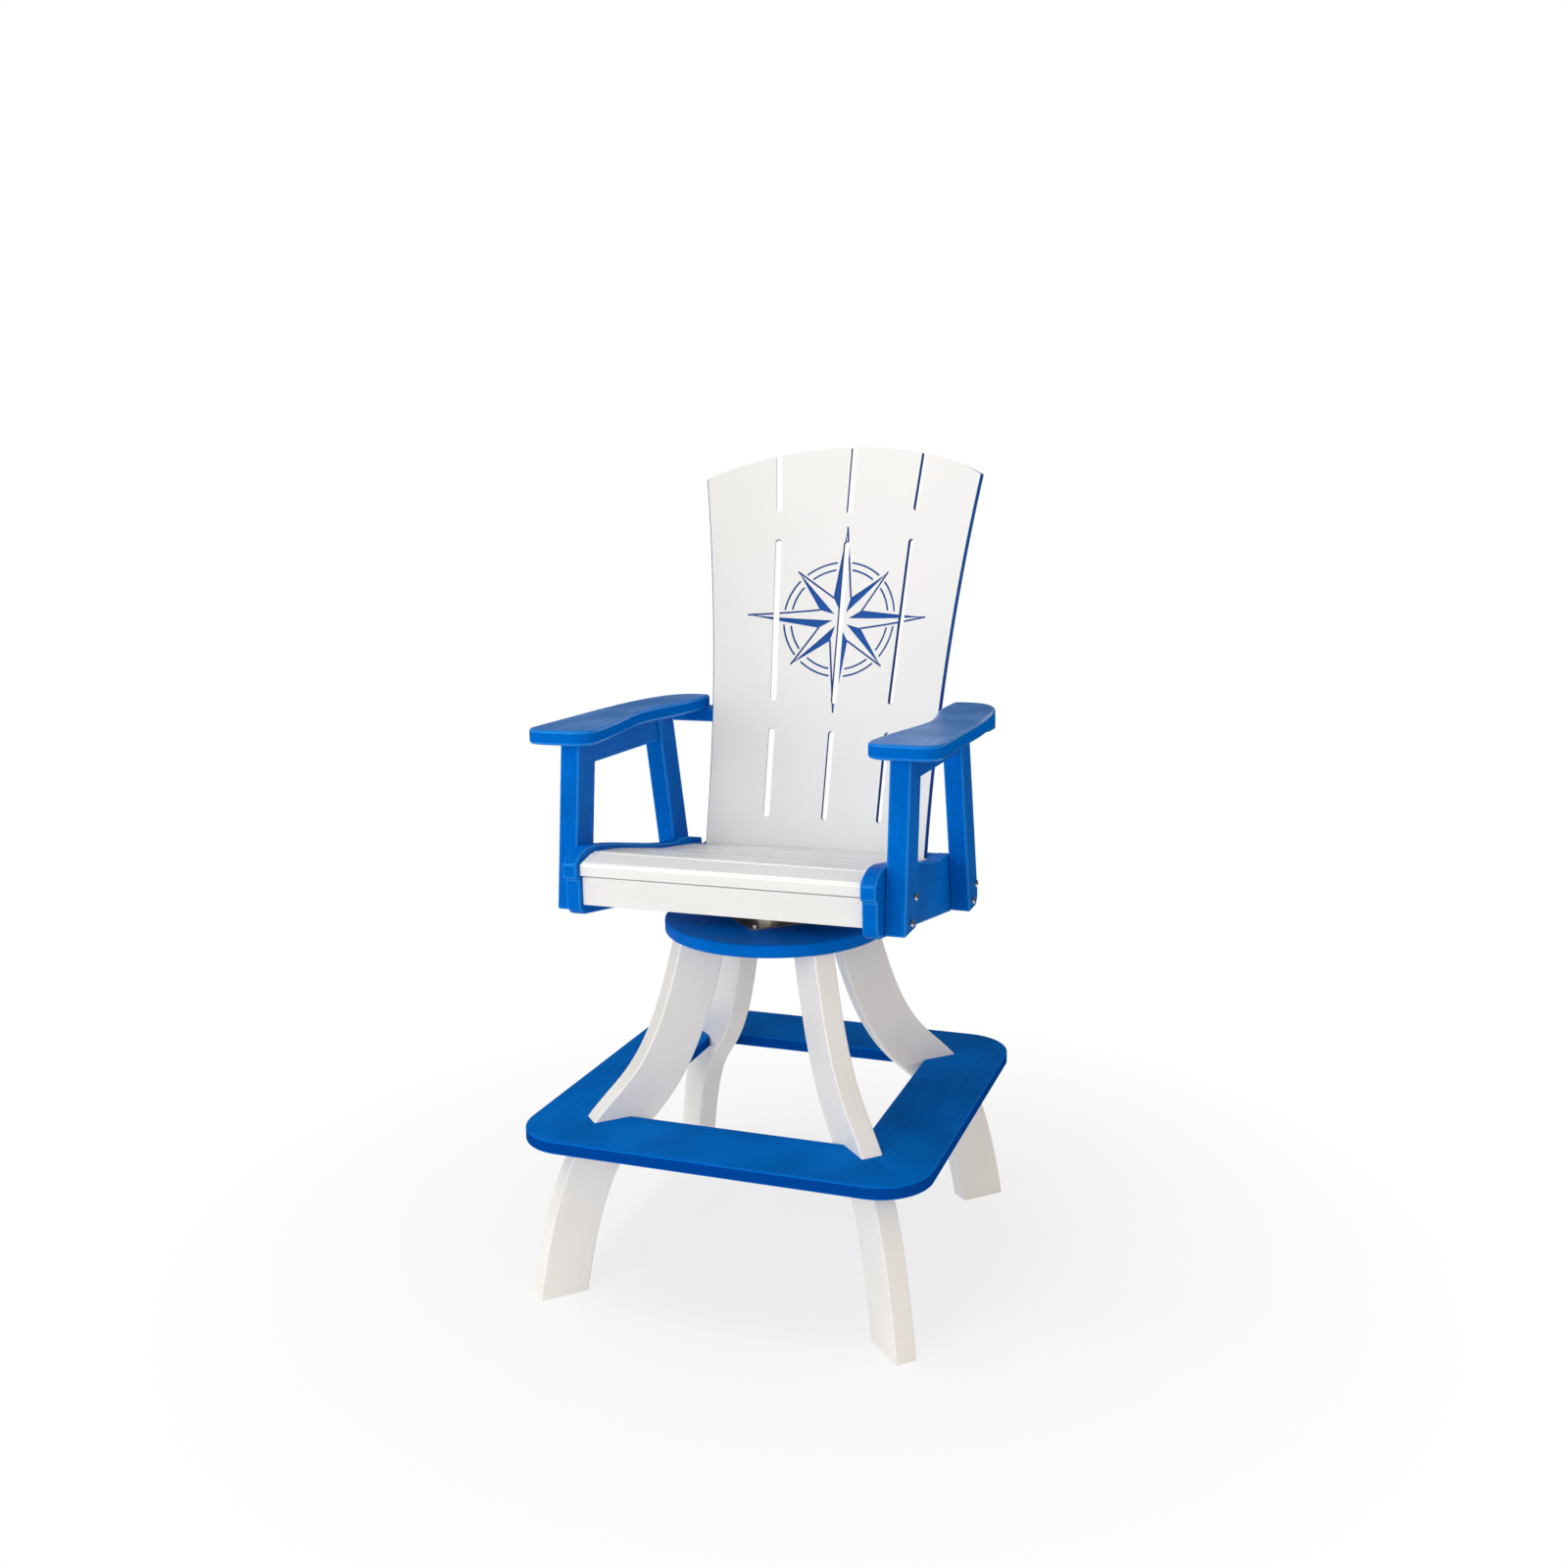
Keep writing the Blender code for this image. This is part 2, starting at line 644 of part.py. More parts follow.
def bowed(across, length, depth):
    """Point of the bowed sheet for a point of the flat one, at a depth behind the front face."""
    radius = back_radius(length)
    turn = across / radius
    behind = (radius + depth) * math.cos(turn) - math.sqrt(radius**2 - back_half(length) ** 2)
    lean, rise = math.sin(BACK_LEAN), math.cos(BACK_LEAN)
    return Vector(
        (
            (radius + depth) * math.sin(turn),
            BACK_FOOT_Y + length * lean + behind * rise,
            BACK_FOOT_Z + length * rise - behind * lean,
        )
    )


def slice_for_bow(shape):
    """Adds edges across a flat shape at even steps, so that it can bend there."""
    for axis, pitch in ((Vector((1, 0, 0)), BACK_COLUMN), (Vector((0, 1, 0)), BACK_ROW)):
        places = [vertex.co.dot(axis) / pitch for vertex in shape.verts]
        for step in range(math.ceil(min(places)), math.floor(max(places)) + 1):
            everything = shape.verts[:] + shape.edges[:] + shape.faces[:]
            spot = axis * pitch * step
            bmesh.ops.bisect_plane(shape, geom=everything, plane_co=spot, plane_no=axis, dist=1e-6)


def bow(shape):
    """Bends a flat shape to the back's bow."""
    slice_for_bow(shape)
    for vertex in shape.verts:
        vertex.co = bowed(*vertex.co)
    outward(shape)


def back_outline():
    """The sheet laid flat: square foot, flared edges and a round top."""
    edge = [BACK_CORNER_LENGTH * step / BACK_EDGE_STEPS for step in range(BACK_EDGE_STEPS + 1)]
    right = [(back_reach(length), length) for length in (-BACK_TUCK, *edge)]
    chord = back_reach(BACK_CORNER_LENGTH)
    rise = BACK_MIDDLE_LENGTH - BACK_CORNER_LENGTH
    radius = (chord**2 + rise**2) / (2 * rise)
    swing = math.degrees(math.asin(chord / radius))
    top = arc(0, BACK_MIDDLE_LENGTH - radius, radius, 90 - swing, 90 + swing, BACK_TOP_STEPS)
    return right + top[1:-1] + [(-across, length) for across, length in reversed(right)]


def slot_outline(share, start, end):
    """Round-ended slot that keeps its place across the sheet as the sheet widens."""
    low = Vector((share * back_reach(start), start))
    high = Vector((share * back_reach(end), end))
    slant = math.degrees(math.atan2(high.x - low.x, high.y - low.y))
    radius = SLOT_WIDTH / 2
    low += (high - low).normalized() * radius
    high -= (high - low).normalized() * radius
    ends = arc(*low, radius, 180 - slant, 360 - slant)
    return ends + arc(*high, radius, -slant, 180 - slant)


def back_panel():
    flat = piece("back_flat", prism(back_outline(), 0, BACK_THICK), SEAT, WHITE)
    slots = []
    for share in (-SLOT_SHARE, 0, SLOT_SHARE):
        for start, end in SLOT_SPANS:
            name = f"slot_{len(slots)}"
            shape = prism(slot_outline(share, start, end), -BACK_THICK, 2 * BACK_THICK)
            slots.append(helper(name, shape, SEAT))
            boolean(flat, slots[-1])
    bpy.context.view_layer.update()
    cut = flat.evaluated_get(bpy.context.evaluated_depsgraph_get()).to_mesh()
    shape = bmesh.new()
    shape.from_mesh(cut)
    for spent in (flat, *slots):
        bpy.data.objects.remove(spent, do_unlink=True)
    bow(shape)
    return piece("back_panel", shape, SEAT, WHITE)


def back_space(name, near, far):
    """Room for the back in the boards round it: a bowed slab wider than it, from near to far in depth."""
    wide = UPPER_RAIL_HALF
    tall = LOWER_RAIL_THICK + BACK_TUCK
    outline = [(-wide, -tall), (wide, -tall), (wide, BACK_CORNER_LENGTH), (-wide, BACK_CORNER_LENGTH)]
    shape = prism(outline, near, far)
    bow(shape)
    return helper(name, shape, SEAT)


back = back_panel()
space_behind = back_space("space_for_slat", -BACK_GAP, LOWER_RAIL_REAR - LOWER_RAIL_FRONT)
space_before = back_space("space_for_rails", LOWER_RAIL_FRONT - LOWER_RAIL_REAR, BACK_THICK + GAP)


def slat_shape(front, rear):
    outline = [(front, seat_line(front)), (rear, seat_line(rear))]
    outline += [(y, z - SLAT_THICK) for y, z in reversed(outline)]
    return ease(prism(outline, -SLAT_HALF, SLAT_HALF, along="X"), BOARD_EASE)


slats = []
for start, end in zip(SLAT_LINES, SLAT_LINES[1:]):
    inset = SLAT_GAP / 2
    front = start + (inset if slats else 0)
    name = f"seat_slat_{len(slats) + 1}"
    slats.append(piece(name, slat_shape(front, end - inset), SEAT, WHITE))
boolean(slats[-1], space_behind)

lower_back_rail = box_board(
    "lower_back_rail",
    SEAT,
    BLUE,
    (-SLAT_HALF, LOWER_RAIL_FRONT, LOWER_RAIL_FOOT),
    (SLAT_HALF, LOWER_RAIL_REAR, LOWER_RAIL_FOOT + LOWER_RAIL_THICK),
    SMALL_EASE,
)
boolean(lower_back_rail, space_before)

ARM_FRAME = Matrix.Translation((0, 0, ARM_TOP)) @ Matrix.Rotation(-ARM_TILT, 4, "X")


def arm_outline():
    """Plan of the right arm: round front, waisted inner edge, rear swept in from the outside."""
    outer = flow(ARM_OUTER_LINE)
    inner = flow(ARM_INNER_LINE)
    front = ARM_FRONT + ARM_FRONT_ROUND
    outline = arc(inner[0][0] + ARM_FRONT_ROUND, front, ARM_FRONT_ROUND, 180, 270)
    outline += arc(outer[0][0] - ARM_FRONT_ROUND, front, ARM_FRONT_ROUND, 270, 360)
    heel = arc(inner[-1][0] + ARM_HEEL_ROUND, outer[-1][1] - ARM_HEEL_ROUND, ARM_HEEL_ROUND, 90, 180, 3)
    return outline + outer[:-1] + heel + inner[-2::-1]


def post_edge(y, foot, lean):
    """A leaning edge, as its place, its height there and its run for each unit of rise."""
    return y, foot, math.tan(lean)


def under_arm(edge, drop):
    """Where a leaning edge meets the plane that lies a drop below the arms' lower faces."""
    y, z, run = edge
    fall = math.tan(ARM_TILT)
    level = ARM_TOP - (ARM_THICK + drop) / math.cos(ARM_TILT)
    height = (level - fall * (y - run * z)) / (1 + fall * run)
    return y + run * (height - z), height


FRONT_EDGE = post_edge(FRONT_POST_Y, FRONT_POST_FOOT, FRONT_POST_LEAN)
FRONT_BACK_EDGE = post_edge(
    FRONT_POST_Y + POST_WIDTH / math.cos(FRONT_POST_LEAN), FRONT_POST_FOOT, FRONT_POST_LEAN
)
REAR_EDGE = post_edge(REAR_POST_Y, REAR_POST_FOOT, REAR_POST_LEAN)
REAR_BACK_EDGE = post_edge(
    REAR_POST_Y + POST_WIDTH / math.cos(REAR_POST_LEAN), REAR_POST_FOOT, REAR_POST_LEAN
)


def front_post_outline():
    foot = [FRONT_EDGE[:2], FRONT_BACK_EDGE[:2]]
    return foot + [under_arm(FRONT_BACK_EDGE, GAP), under_arm(FRONT_EDGE, GAP)]


def rear_post_outline():
    """The rear post's foot is rounded at the back."""
    back_y, foot, run = REAR_BACK_EDGE
    centre = back_y - REAR_POST_ROUND + run * REAR_POST_ROUND / 2
    end = 360 + math.degrees(-REAR_POST_LEAN)
    round_foot = arc(centre, foot + REAR_POST_ROUND, REAR_POST_ROUND, 270, end)
    return [REAR_EDGE[:2], *round_foot, under_arm(REAR_BACK_EDGE, GAP), under_arm(REAR_EDGE, GAP)]


def arm_rail_outline():
    """Board between the posts, under the arm."""
    front_y, front_z, front_run = FRONT_BACK_EDGE
    rear_y, rear_z, rear_run = REAR_EDGE
    front = (front_y + GAP, front_z, front_run)
    rear = (rear_y - GAP, rear_z, rear_run)
    foot = [under_arm(front, ARM_RAIL_HEIGHT), under_arm(rear, ARM_RAIL_HEIGHT)]
    return foot + [under_arm(rear, GAP), under_arm(front, GAP)]


arms = {}
arm_rails = {}
posts = {}
for side, sign in (("left", -1), ("right", 1)):
    outline = [(sign * x, y) for x, y in arm_outline()][::sign]
    shape = ease(prism(outline, -ARM_THICK, 0), ARM_EASE)
    shape.transform(ARM_FRAME)
    arms[side] = piece("arm_" + side, shape, SEAT, BLUE)
    low, high = sorted((sign * POST_INNER, sign * POST_OUTER))
    for word, outline in (("front", front_post_outline()), ("rear", rear_post_outline())):
        shape = ease(prism(outline, low, high, along="X"), BOARD_EASE)
        posts[word, side] = piece(f"post_{word}_{side}", shape, SEAT, BLUE)
    middle = (low + high) / 2
    low, high = middle - ARM_RAIL_THICK / 2, middle + ARM_RAIL_THICK / 2
    shape = ease(prism(arm_rail_outline(), low, high, along="X"), SMALL_EASE)
    arm_rails[side] = piece("arm_rail_" + side, shape, SEAT, BLUE)

upper_half = [
    (UPPER_RAIL_HALF, UPPER_RAIL_REAR),
    (UPPER_RAIL_HALF / 2, UPPER_RAIL_REAR + 0.75 * UPPER_RAIL_BOW),
]
upper_middle = (0, UPPER_RAIL_REAR + UPPER_RAIL_BOW)
upper_outline = [(-UPPER_RAIL_HALF, UPPER_RAIL_FRONT), (UPPER_RAIL_HALF, UPPER_RAIL_FRONT)]
upper_outline += flow([*upper_half, upper_middle, *((-x, y) for x, y in reversed(upper_half))])
upper_foot = -ARM_THICK - GAP - UPPER_RAIL_THICK
shape = ease(prism(upper_outline, upper_foot, -ARM_THICK - GAP), BOARD_EASE)
shape.transform(ARM_FRAME)
upper_back_rail = piece("upper_back_rail", shape, SEAT, BLUE)
boolean(upper_back_rail, space_before)


def leg_screw_places():
    """One screw down through the disc into the middle of each leg's top."""
    places = {}
    for corner, degrees in LEG_ANGLES.items():
        angle = math.radians(degrees)
        height = DISC_TOP - LEG_SCREW_SINK - LEG_SCREW[1]
        seat = (LEG_SCREW_RADIUS * math.cos(angle), LEG_SCREW_RADIUS * math.sin(angle), height)
        places["leg_screw_" + corner] = (seat, (0, 0, -1), LEG_SCREW_LENGTH)
    return places


def plate_bolt_places(words, first_degrees, height, upward):
    """A bolt in each corner of a swivel plate."""
    places = {}
    for turn, word in enumerate(words):
        angle = math.radians(first_degrees + 90 * turn)
        seat = (BOLT_RADIUS * math.cos(angle), BOLT_RADIUS * math.sin(angle), height)
        places[word] = (seat, (0, 0, upward), PLATE_BOLT_LENGTH)
    return places


def post_screw_places():
    """Screws with proud heads through the posts' feet into the rails."""
    places = {}
    for side, sign in (("left", -1), ("right", 1)):
        for word, (y, z) in POST_SCREW_SPOTS.items():
            seat = (sign * (POST_OUTER + GAP), y, z)
            places[f"post_screw_{side}_{word}"] = (seat, (-sign, 0, 0), POST_SCREW_LENGTH)
    return places


fasten(LEG_SCREW, leg_screw_places(), BASE, [base_disc, *legs.values()], sunk=True)
lower_words = [f"swivel_lower_bolt_{word}" for word in ("right", "rear", "left", "front")]
lower_bolts = plate_bolt_places(lower_words, 0, LOWER_PLATE + PLATE_THICK + GAP, -1)
fasten(PLATE_BOLT, lower_bolts, BASE, [lower_plate, base_disc])
upper_corners = ("rear_right", "rear_left", "front_left", "front_right")
upper_words = [f"swivel_upper_bolt_{word}" for word in upper_corners]
upper_bolts = plate_bolt_places(upper_words, 45, UPPER_PLATE - GAP, 1)
fasten(PLATE_BOLT, upper_bolts, SEAT, [upper_plate, *mount_boards])
fasten(POST_SCREW, post_screw_places(), SEAT, [*posts.values(), *rails.values()])
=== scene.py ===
"""Looks of the swivel bar chair: boards sawn from two-tone poly lumber, a bowed and engraved back cut from
three-layer sheet, a steel ball-bearing swivel and steel screws. Metres, +Z up, the sitter faces -Y."""

import math

import bpy
from mathutils import Euler, Matrix, Vector


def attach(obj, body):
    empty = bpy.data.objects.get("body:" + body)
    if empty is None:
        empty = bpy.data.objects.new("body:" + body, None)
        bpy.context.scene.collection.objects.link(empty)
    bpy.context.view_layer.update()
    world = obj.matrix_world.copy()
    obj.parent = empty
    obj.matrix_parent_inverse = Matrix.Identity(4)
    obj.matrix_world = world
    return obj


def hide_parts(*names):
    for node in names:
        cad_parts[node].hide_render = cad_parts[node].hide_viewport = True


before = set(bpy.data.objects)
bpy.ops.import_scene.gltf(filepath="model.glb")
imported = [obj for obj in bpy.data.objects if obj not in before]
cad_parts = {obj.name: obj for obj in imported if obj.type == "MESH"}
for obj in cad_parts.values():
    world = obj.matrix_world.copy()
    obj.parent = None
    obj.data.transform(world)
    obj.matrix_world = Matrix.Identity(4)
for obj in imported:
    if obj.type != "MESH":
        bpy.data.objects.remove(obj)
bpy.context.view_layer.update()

# Sizes as in the part's source; plan places and depths count from the swivel axis
SWIVEL_Y = -0.0667
GAP = 0.0003
SLAT_GAP = 0.004
BACK_GAP = 0.003

LEG_THICK = 0.038
LEG_WIDTH = 0.0845
LEG_TOP_RADIUS = 0.1455
LEG_FOOT_RADIUS = 0.4205
LEG_TOP_SLANT = math.radians(13.7)
LEG_FOOT_SLANT = math.radians(9.7)
LEG_TOP_PULL = 0.422
LEG_FOOT_PULL = 0.4365
LEG_STEPS = 44
LEG_OVERRUN = 0.06
LEG_ANGLES = {"front_left": 225, "front_right": 315, "rear_left": 135, "rear_right": 45}

FOOTREST_HALF = 0.3556
FOOTREST_WIDTH = 0.1385
FOOTREST_THICK = 0.0225
FOOTREST_TOP = 0.303
FOOTREST_CORNER = 0.089
FOOTREST_TURNS = {"front": 0, "right": 90, "rear": 180, "left": 270}

DISC_RADIUS = 0.1966
DISC_THICK = 0.0225
DISC_TOP = 0.6193
LEG_TOP = DISC_TOP - DISC_THICK - GAP

MOUNT_BOARD_FOOT = 0.6409
MOUNT_BOARD_THICK = 0.035
MOUNT_BOARD_NEAR = 0.022
MOUNT_BOARD_FAR = 0.111

RAIL_TOP_LINE = (
    (-0.283, 0.757),
    (-0.264, 0.770),
    (-0.225, 0.776),
    (-0.140, 0.762),
    (-0.030, 0.7375),
    (0.047, 0.720),
    (0.112, 0.7085),
    (0.165, 0.7065),
    (0.240, 0.690),
)
RAIL_THICK = 0.0254
RAIL_INNER = 0.2424
RAIL_NOSE_DROP = 0.023
RAIL_NOSE_STEP = 0.010
RAIL_FOOT_ROUND = 0.024
RAIL_FRONT_FOOT = 0.666
RAIL_REAR_FOOT = 0.594
RAIL_REAR_FLAT = 0.050

SLAT_LINES = (-0.272, -0.228, -0.139, -0.050, 0.039, 0.128, 0.250)
SLAT_DROP = 0.008
SLAT_THICK = 0.0222
SLAT_HALF = RAIL_INNER - GAP
APRON_FRONT = -0.264
APRON_THICK = 0.0222
APRON_FOOT = 0.685
APRON_SHADOW = 0.0050  # open joint between the apron and the front slat
CLEAT_THICK = 0.0215
CLEAT_HEIGHT = 0.045
CLEAT_REAR = 0.178

BACK_LEAN = math.radians(15.45)
BACK_FOOT_Y = 0.1968
BACK_FOOT_Z = 0.692
BACK_THICK = 0.0095
BACK_FOOT_HALF = 0.215
BACK_CORNER_HALF = 0.272
BACK_CORNER_LENGTH = 0.710
BACK_MIDDLE_LENGTH = 0.788
BACK_TUCK = 0.055
BACK_BOW_FOOT = 0.053
BACK_BOW_TOP = 0.076
BACK_SKIN = 0.0006  # white layer over the blue core of the sheet
BACK_COLUMN = 0.010
BACK_ROW = 0.040
BACK_EDGE_STEPS = 24
BACK_TOP_STEPS = 40
SLOT_WIDTH = 0.0115
SLOT_SHARE = 0.505
SLOT_SPANS = ((0.057, 0.229), (0.282, 0.601), (0.656, 0.850))

# The compass star engraved in the back, laid out on the flat sheet
STAR_POINTS = 8
STAR_STEP = 360 / STAR_POINTS
STAR_MIDDLE = 0.447
STAR_LONG = 0.181
STAR_SHORT = 0.128
STAR_WAIST = 0.046
STAR_EYE = 0.016
STAR_EYE_TURN = 8  # degrees by which a shaded side starts beside its ridge
STAR_RINGS = (0.098, 0.112)
STAR_CLEAR = 0.007  # from the rings' ends to the points of the star
ENGRAVED_WIDTH = 0.0036
ENGRAVED_DEPTH = 0.0022

UPPER_RAIL_HALF = 0.317
UPPER_RAIL_FRONT = 0.282
UPPER_RAIL_REAR = 0.330
UPPER_RAIL_BOW = 0.046
UPPER_RAIL_THICK = 0.0254
LOWER_RAIL_FRONT = 0.200
LOWER_RAIL_REAR = 0.282
LOWER_RAIL_FOOT = 0.641
LOWER_RAIL_THICK = 0.038

POST_INNER = 0.2681
POST_THICK = 0.035
POST_WIDTH = 0.062
FRONT_POST_Y = -0.240
FRONT_POST_FOOT = 0.667
FRONT_POST_LEAN = math.radians(7.2)
REAR_POST_Y = 0.191
REAR_POST_FOOT = 0.595
REAR_POST_LEAN = math.radians(-12.6)
REAR_POST_ROUND = 0.022

ARM_TOP = 0.9668
ARM_TILT = math.radians(0.85)
ARM_THICK = 0.0254
ARM_FRONT = -0.239
ARM_FRONT_ROUND = 0.034
ARM_HEEL_ROUND = 0.014
ARM_OUTER_LINE = (
    (0.3556, 0.050),
    (0.351, 0.140),
    (0.342, 0.210),
    (0.328, 0.262),
    (0.306, 0.295),
    (0.280, 0.3075),
    (0.257, 0.308),
)
ARM_INNER_LINE = (
    (0.235, -0.190),
    (0.242, -0.130),
    (0.255, -0.050),
    (0.2655, 0.020),
    (0.2635, 0.075),
    (0.251, 0.150),
    (0.2445, 0.205),
    (0.243, 0.275),
)
ARM_RAIL_THICK = 0.0254
ARM_RAIL_HEIGHT = 0.041

POST_SCREW_SPOTS = {
    "front_upper": (-0.183, 0.720),
    "front_lower": (-0.206, 0.683),
    "rear_upper": (0.235, 0.638),
    "rear_lower": (0.214, 0.612),
}
POST_SCREW_HEAD = 0.0065
POST_SCREW_HEIGHT = 0.0036
POST_SCREW_SHANK = 0.0028
POST_SCREW_LENGTH = 0.052
POST_SCREW_TIP = 0.006
POST_SCREW_SPIN = 40  # radians for each metre of depth, so that the crosses stand at odd angles
LEG_SCREW_PLACE = 0.145
LEG_SCREW_HEAD = 0.006
LEG_SCREW_HEIGHT = 0.003
LEG_SCREW_SHANK = 0.0032
LEG_SCREW_LENGTH = 0.060
LEG_SCREW_TIP = 0.007
LEG_SCREW_SINK = 0.0008
BOLT_PLACE = 0.1018
BOLT_HEAD = 0.0068
BOLT_HEIGHT = 0.0045
BOLT_SHANK = 0.003
BOLT_LENGTH = 0.018
BOLT_TIP = 0.001
LOWER_BOLT_SEAT = 0.6229
UPPER_BOLT_SEAT = 0.6373

# Rounded edges and smoothness
BOARD_EASE = 0.0035
ARM_EASE = 0.005
SLAT_EASE = 0.006
TREAD_EASE = 0.0025
SMALL_EASE = 0.002
SHEET_EASE = 0.0007
EASE_STEPS = 3
SHARP = math.radians(35)
SMOOTH = math.radians(40)
CORNER_STEPS = 12
CURVE_STEPS = 8
DISC_STEPS = 128
RIM_STEPS = 5
BORE_STEPS = 24
SCREW_STEPS = 32
SMALL_ARC_STEPS = 6
NEAR = 0.001  # a point within this of a line counts as on it

# How a flat outline stands in the chair: across the depth and height, or across the width and height
AXIS = Matrix.Translation((0, SWIVEL_Y, 0))
SIDE_ON = AXIS @ Matrix(((0, 0, 1, 0), (1, 0, 0, 0), (0, 1, 0, 0), (0, 0, 0, 1)))
FACE_ON = Matrix.Rotation(math.radians(90), 4, "X")
ARM_FRAME = AXIS @ Matrix.Translation((0, 0, ARM_TOP)) @ Matrix.Rotation(-ARM_TILT, 4, "X")


def lift(height):
    return Matrix.Translation((0, 0, height))


def swing(degrees):
    """Turn about the swivel axis."""
    return AXIS @ Matrix.Rotation(math.radians(degrees), 4, "Z") @ AXIS.inverted()


# Finishes


def linear(colour):
    """An sRGB hex colour as linear RGBA."""
    channels = [int(colour[start : start + 2], 16) / 255 for start in (1, 3, 5)]
    return (*(c / 12.92 if c <= 0.04045 else ((c + 0.055) / 1.055) ** 2.4 for c in channels), 1)


def add(tree, kind, settings, links=None):
    """Adds a node. Its settings go to sockets or properties by name, its links come from other nodes."""
    made = tree.nodes.new("ShaderNode" + kind)
    for name, value in settings.items():
        if isinstance(name, int) or name in made.inputs:
            made.inputs[name].default_value = value
        else:
            setattr(made, name, value)
    for name, source in (links or {}).items():
        tree.links.new(source, made.inputs[name])
    return made


def new_finish(name):
    made = bpy.data.materials.new(name)
    made.use_nodes = True
    return made, made.node_tree, made.node_tree.nodes["Principled BSDF"]


# Colours of the boards, each with its streaks
BLUE_FACE = "#0072D9"
BLUE_STREAK = "#0060BB"
# paler colour of the rounded edges: a painted highlight
BLUE_PAINTED_EDGE_HIGHLIGHT = "#2080DC"
BLUE_SHEEN = "#3AA6FF"
# arm faces painted lighter and tealer than the boards' blue: a painted sheen
ARM_FACE_PAINTED_SHEEN = "#0079D2"
ARM_STREAK_PAINTED_SHEEN = "#0069B8"
ARM_SAWN = "#0067C8"
TREAD_FACE = "#0070CC"
TREAD_STREAK = "#005FAF"
TREAD_EDGE = "#0868C6"
# footrest sides painted darker: a painted shade
TREAD_SIDE_PAINTED_SHADE = "#00459C"
WHITE_FACE = "#F3F3F2"
WHITE_STREAK = "#EFEEED"
# brighter white of the rounded edges: a painted highlight
WHITE_PAINTED_EDGE_HIGHLIGHT = "#F7F7F5"
# legs' white, brighter and warmer than the other white boards: painted light
LEG_FACE_PAINTED_LIGHT = "#FBF8F3"
LEG_STREAK_PAINTED_LIGHT = "#F7F4EF"
SHEET_STREAK = "#F1F1F0"
# the core's blue is real, its extra darkness a painted shade
CORE_BLUE_PAINTED_SHADE = "#0052A8"

# How much of a full gloss each kind of board shows
BLUE_GLEAM = 0.03
ARM_GLEAM = 0.28
TREAD_GLEAM = 0.004
WHITE_GLEAM = 0.5
SHEET_GLEAM = 0.3

# Patterns of a board's skin
BRUSH_LONG = 0.150  # brush lines are about 60 mm by 0.5 mm, drawn larger so that they show
BRUSH_WIDE = 0.0024
PEBBLE = 0.002  # the pebble of the extruder's cooling is about 0.6 mm, drawn larger too
WAVE = 0.110  # slow waves of a board's faces
MOTTLE = {"From Min": 0.75, "From Max": 1.25}  # span of the brush lines and the waves, added up
SATIN = {"To Min": 0.30, "To Max": 0.42}  # roughness over that span
ROUTED_POLISH = 0.16  # by which a routed edge is smoother
STREAK_SHIFT = 0.37  # along the stock from one board to the next, so that no two match


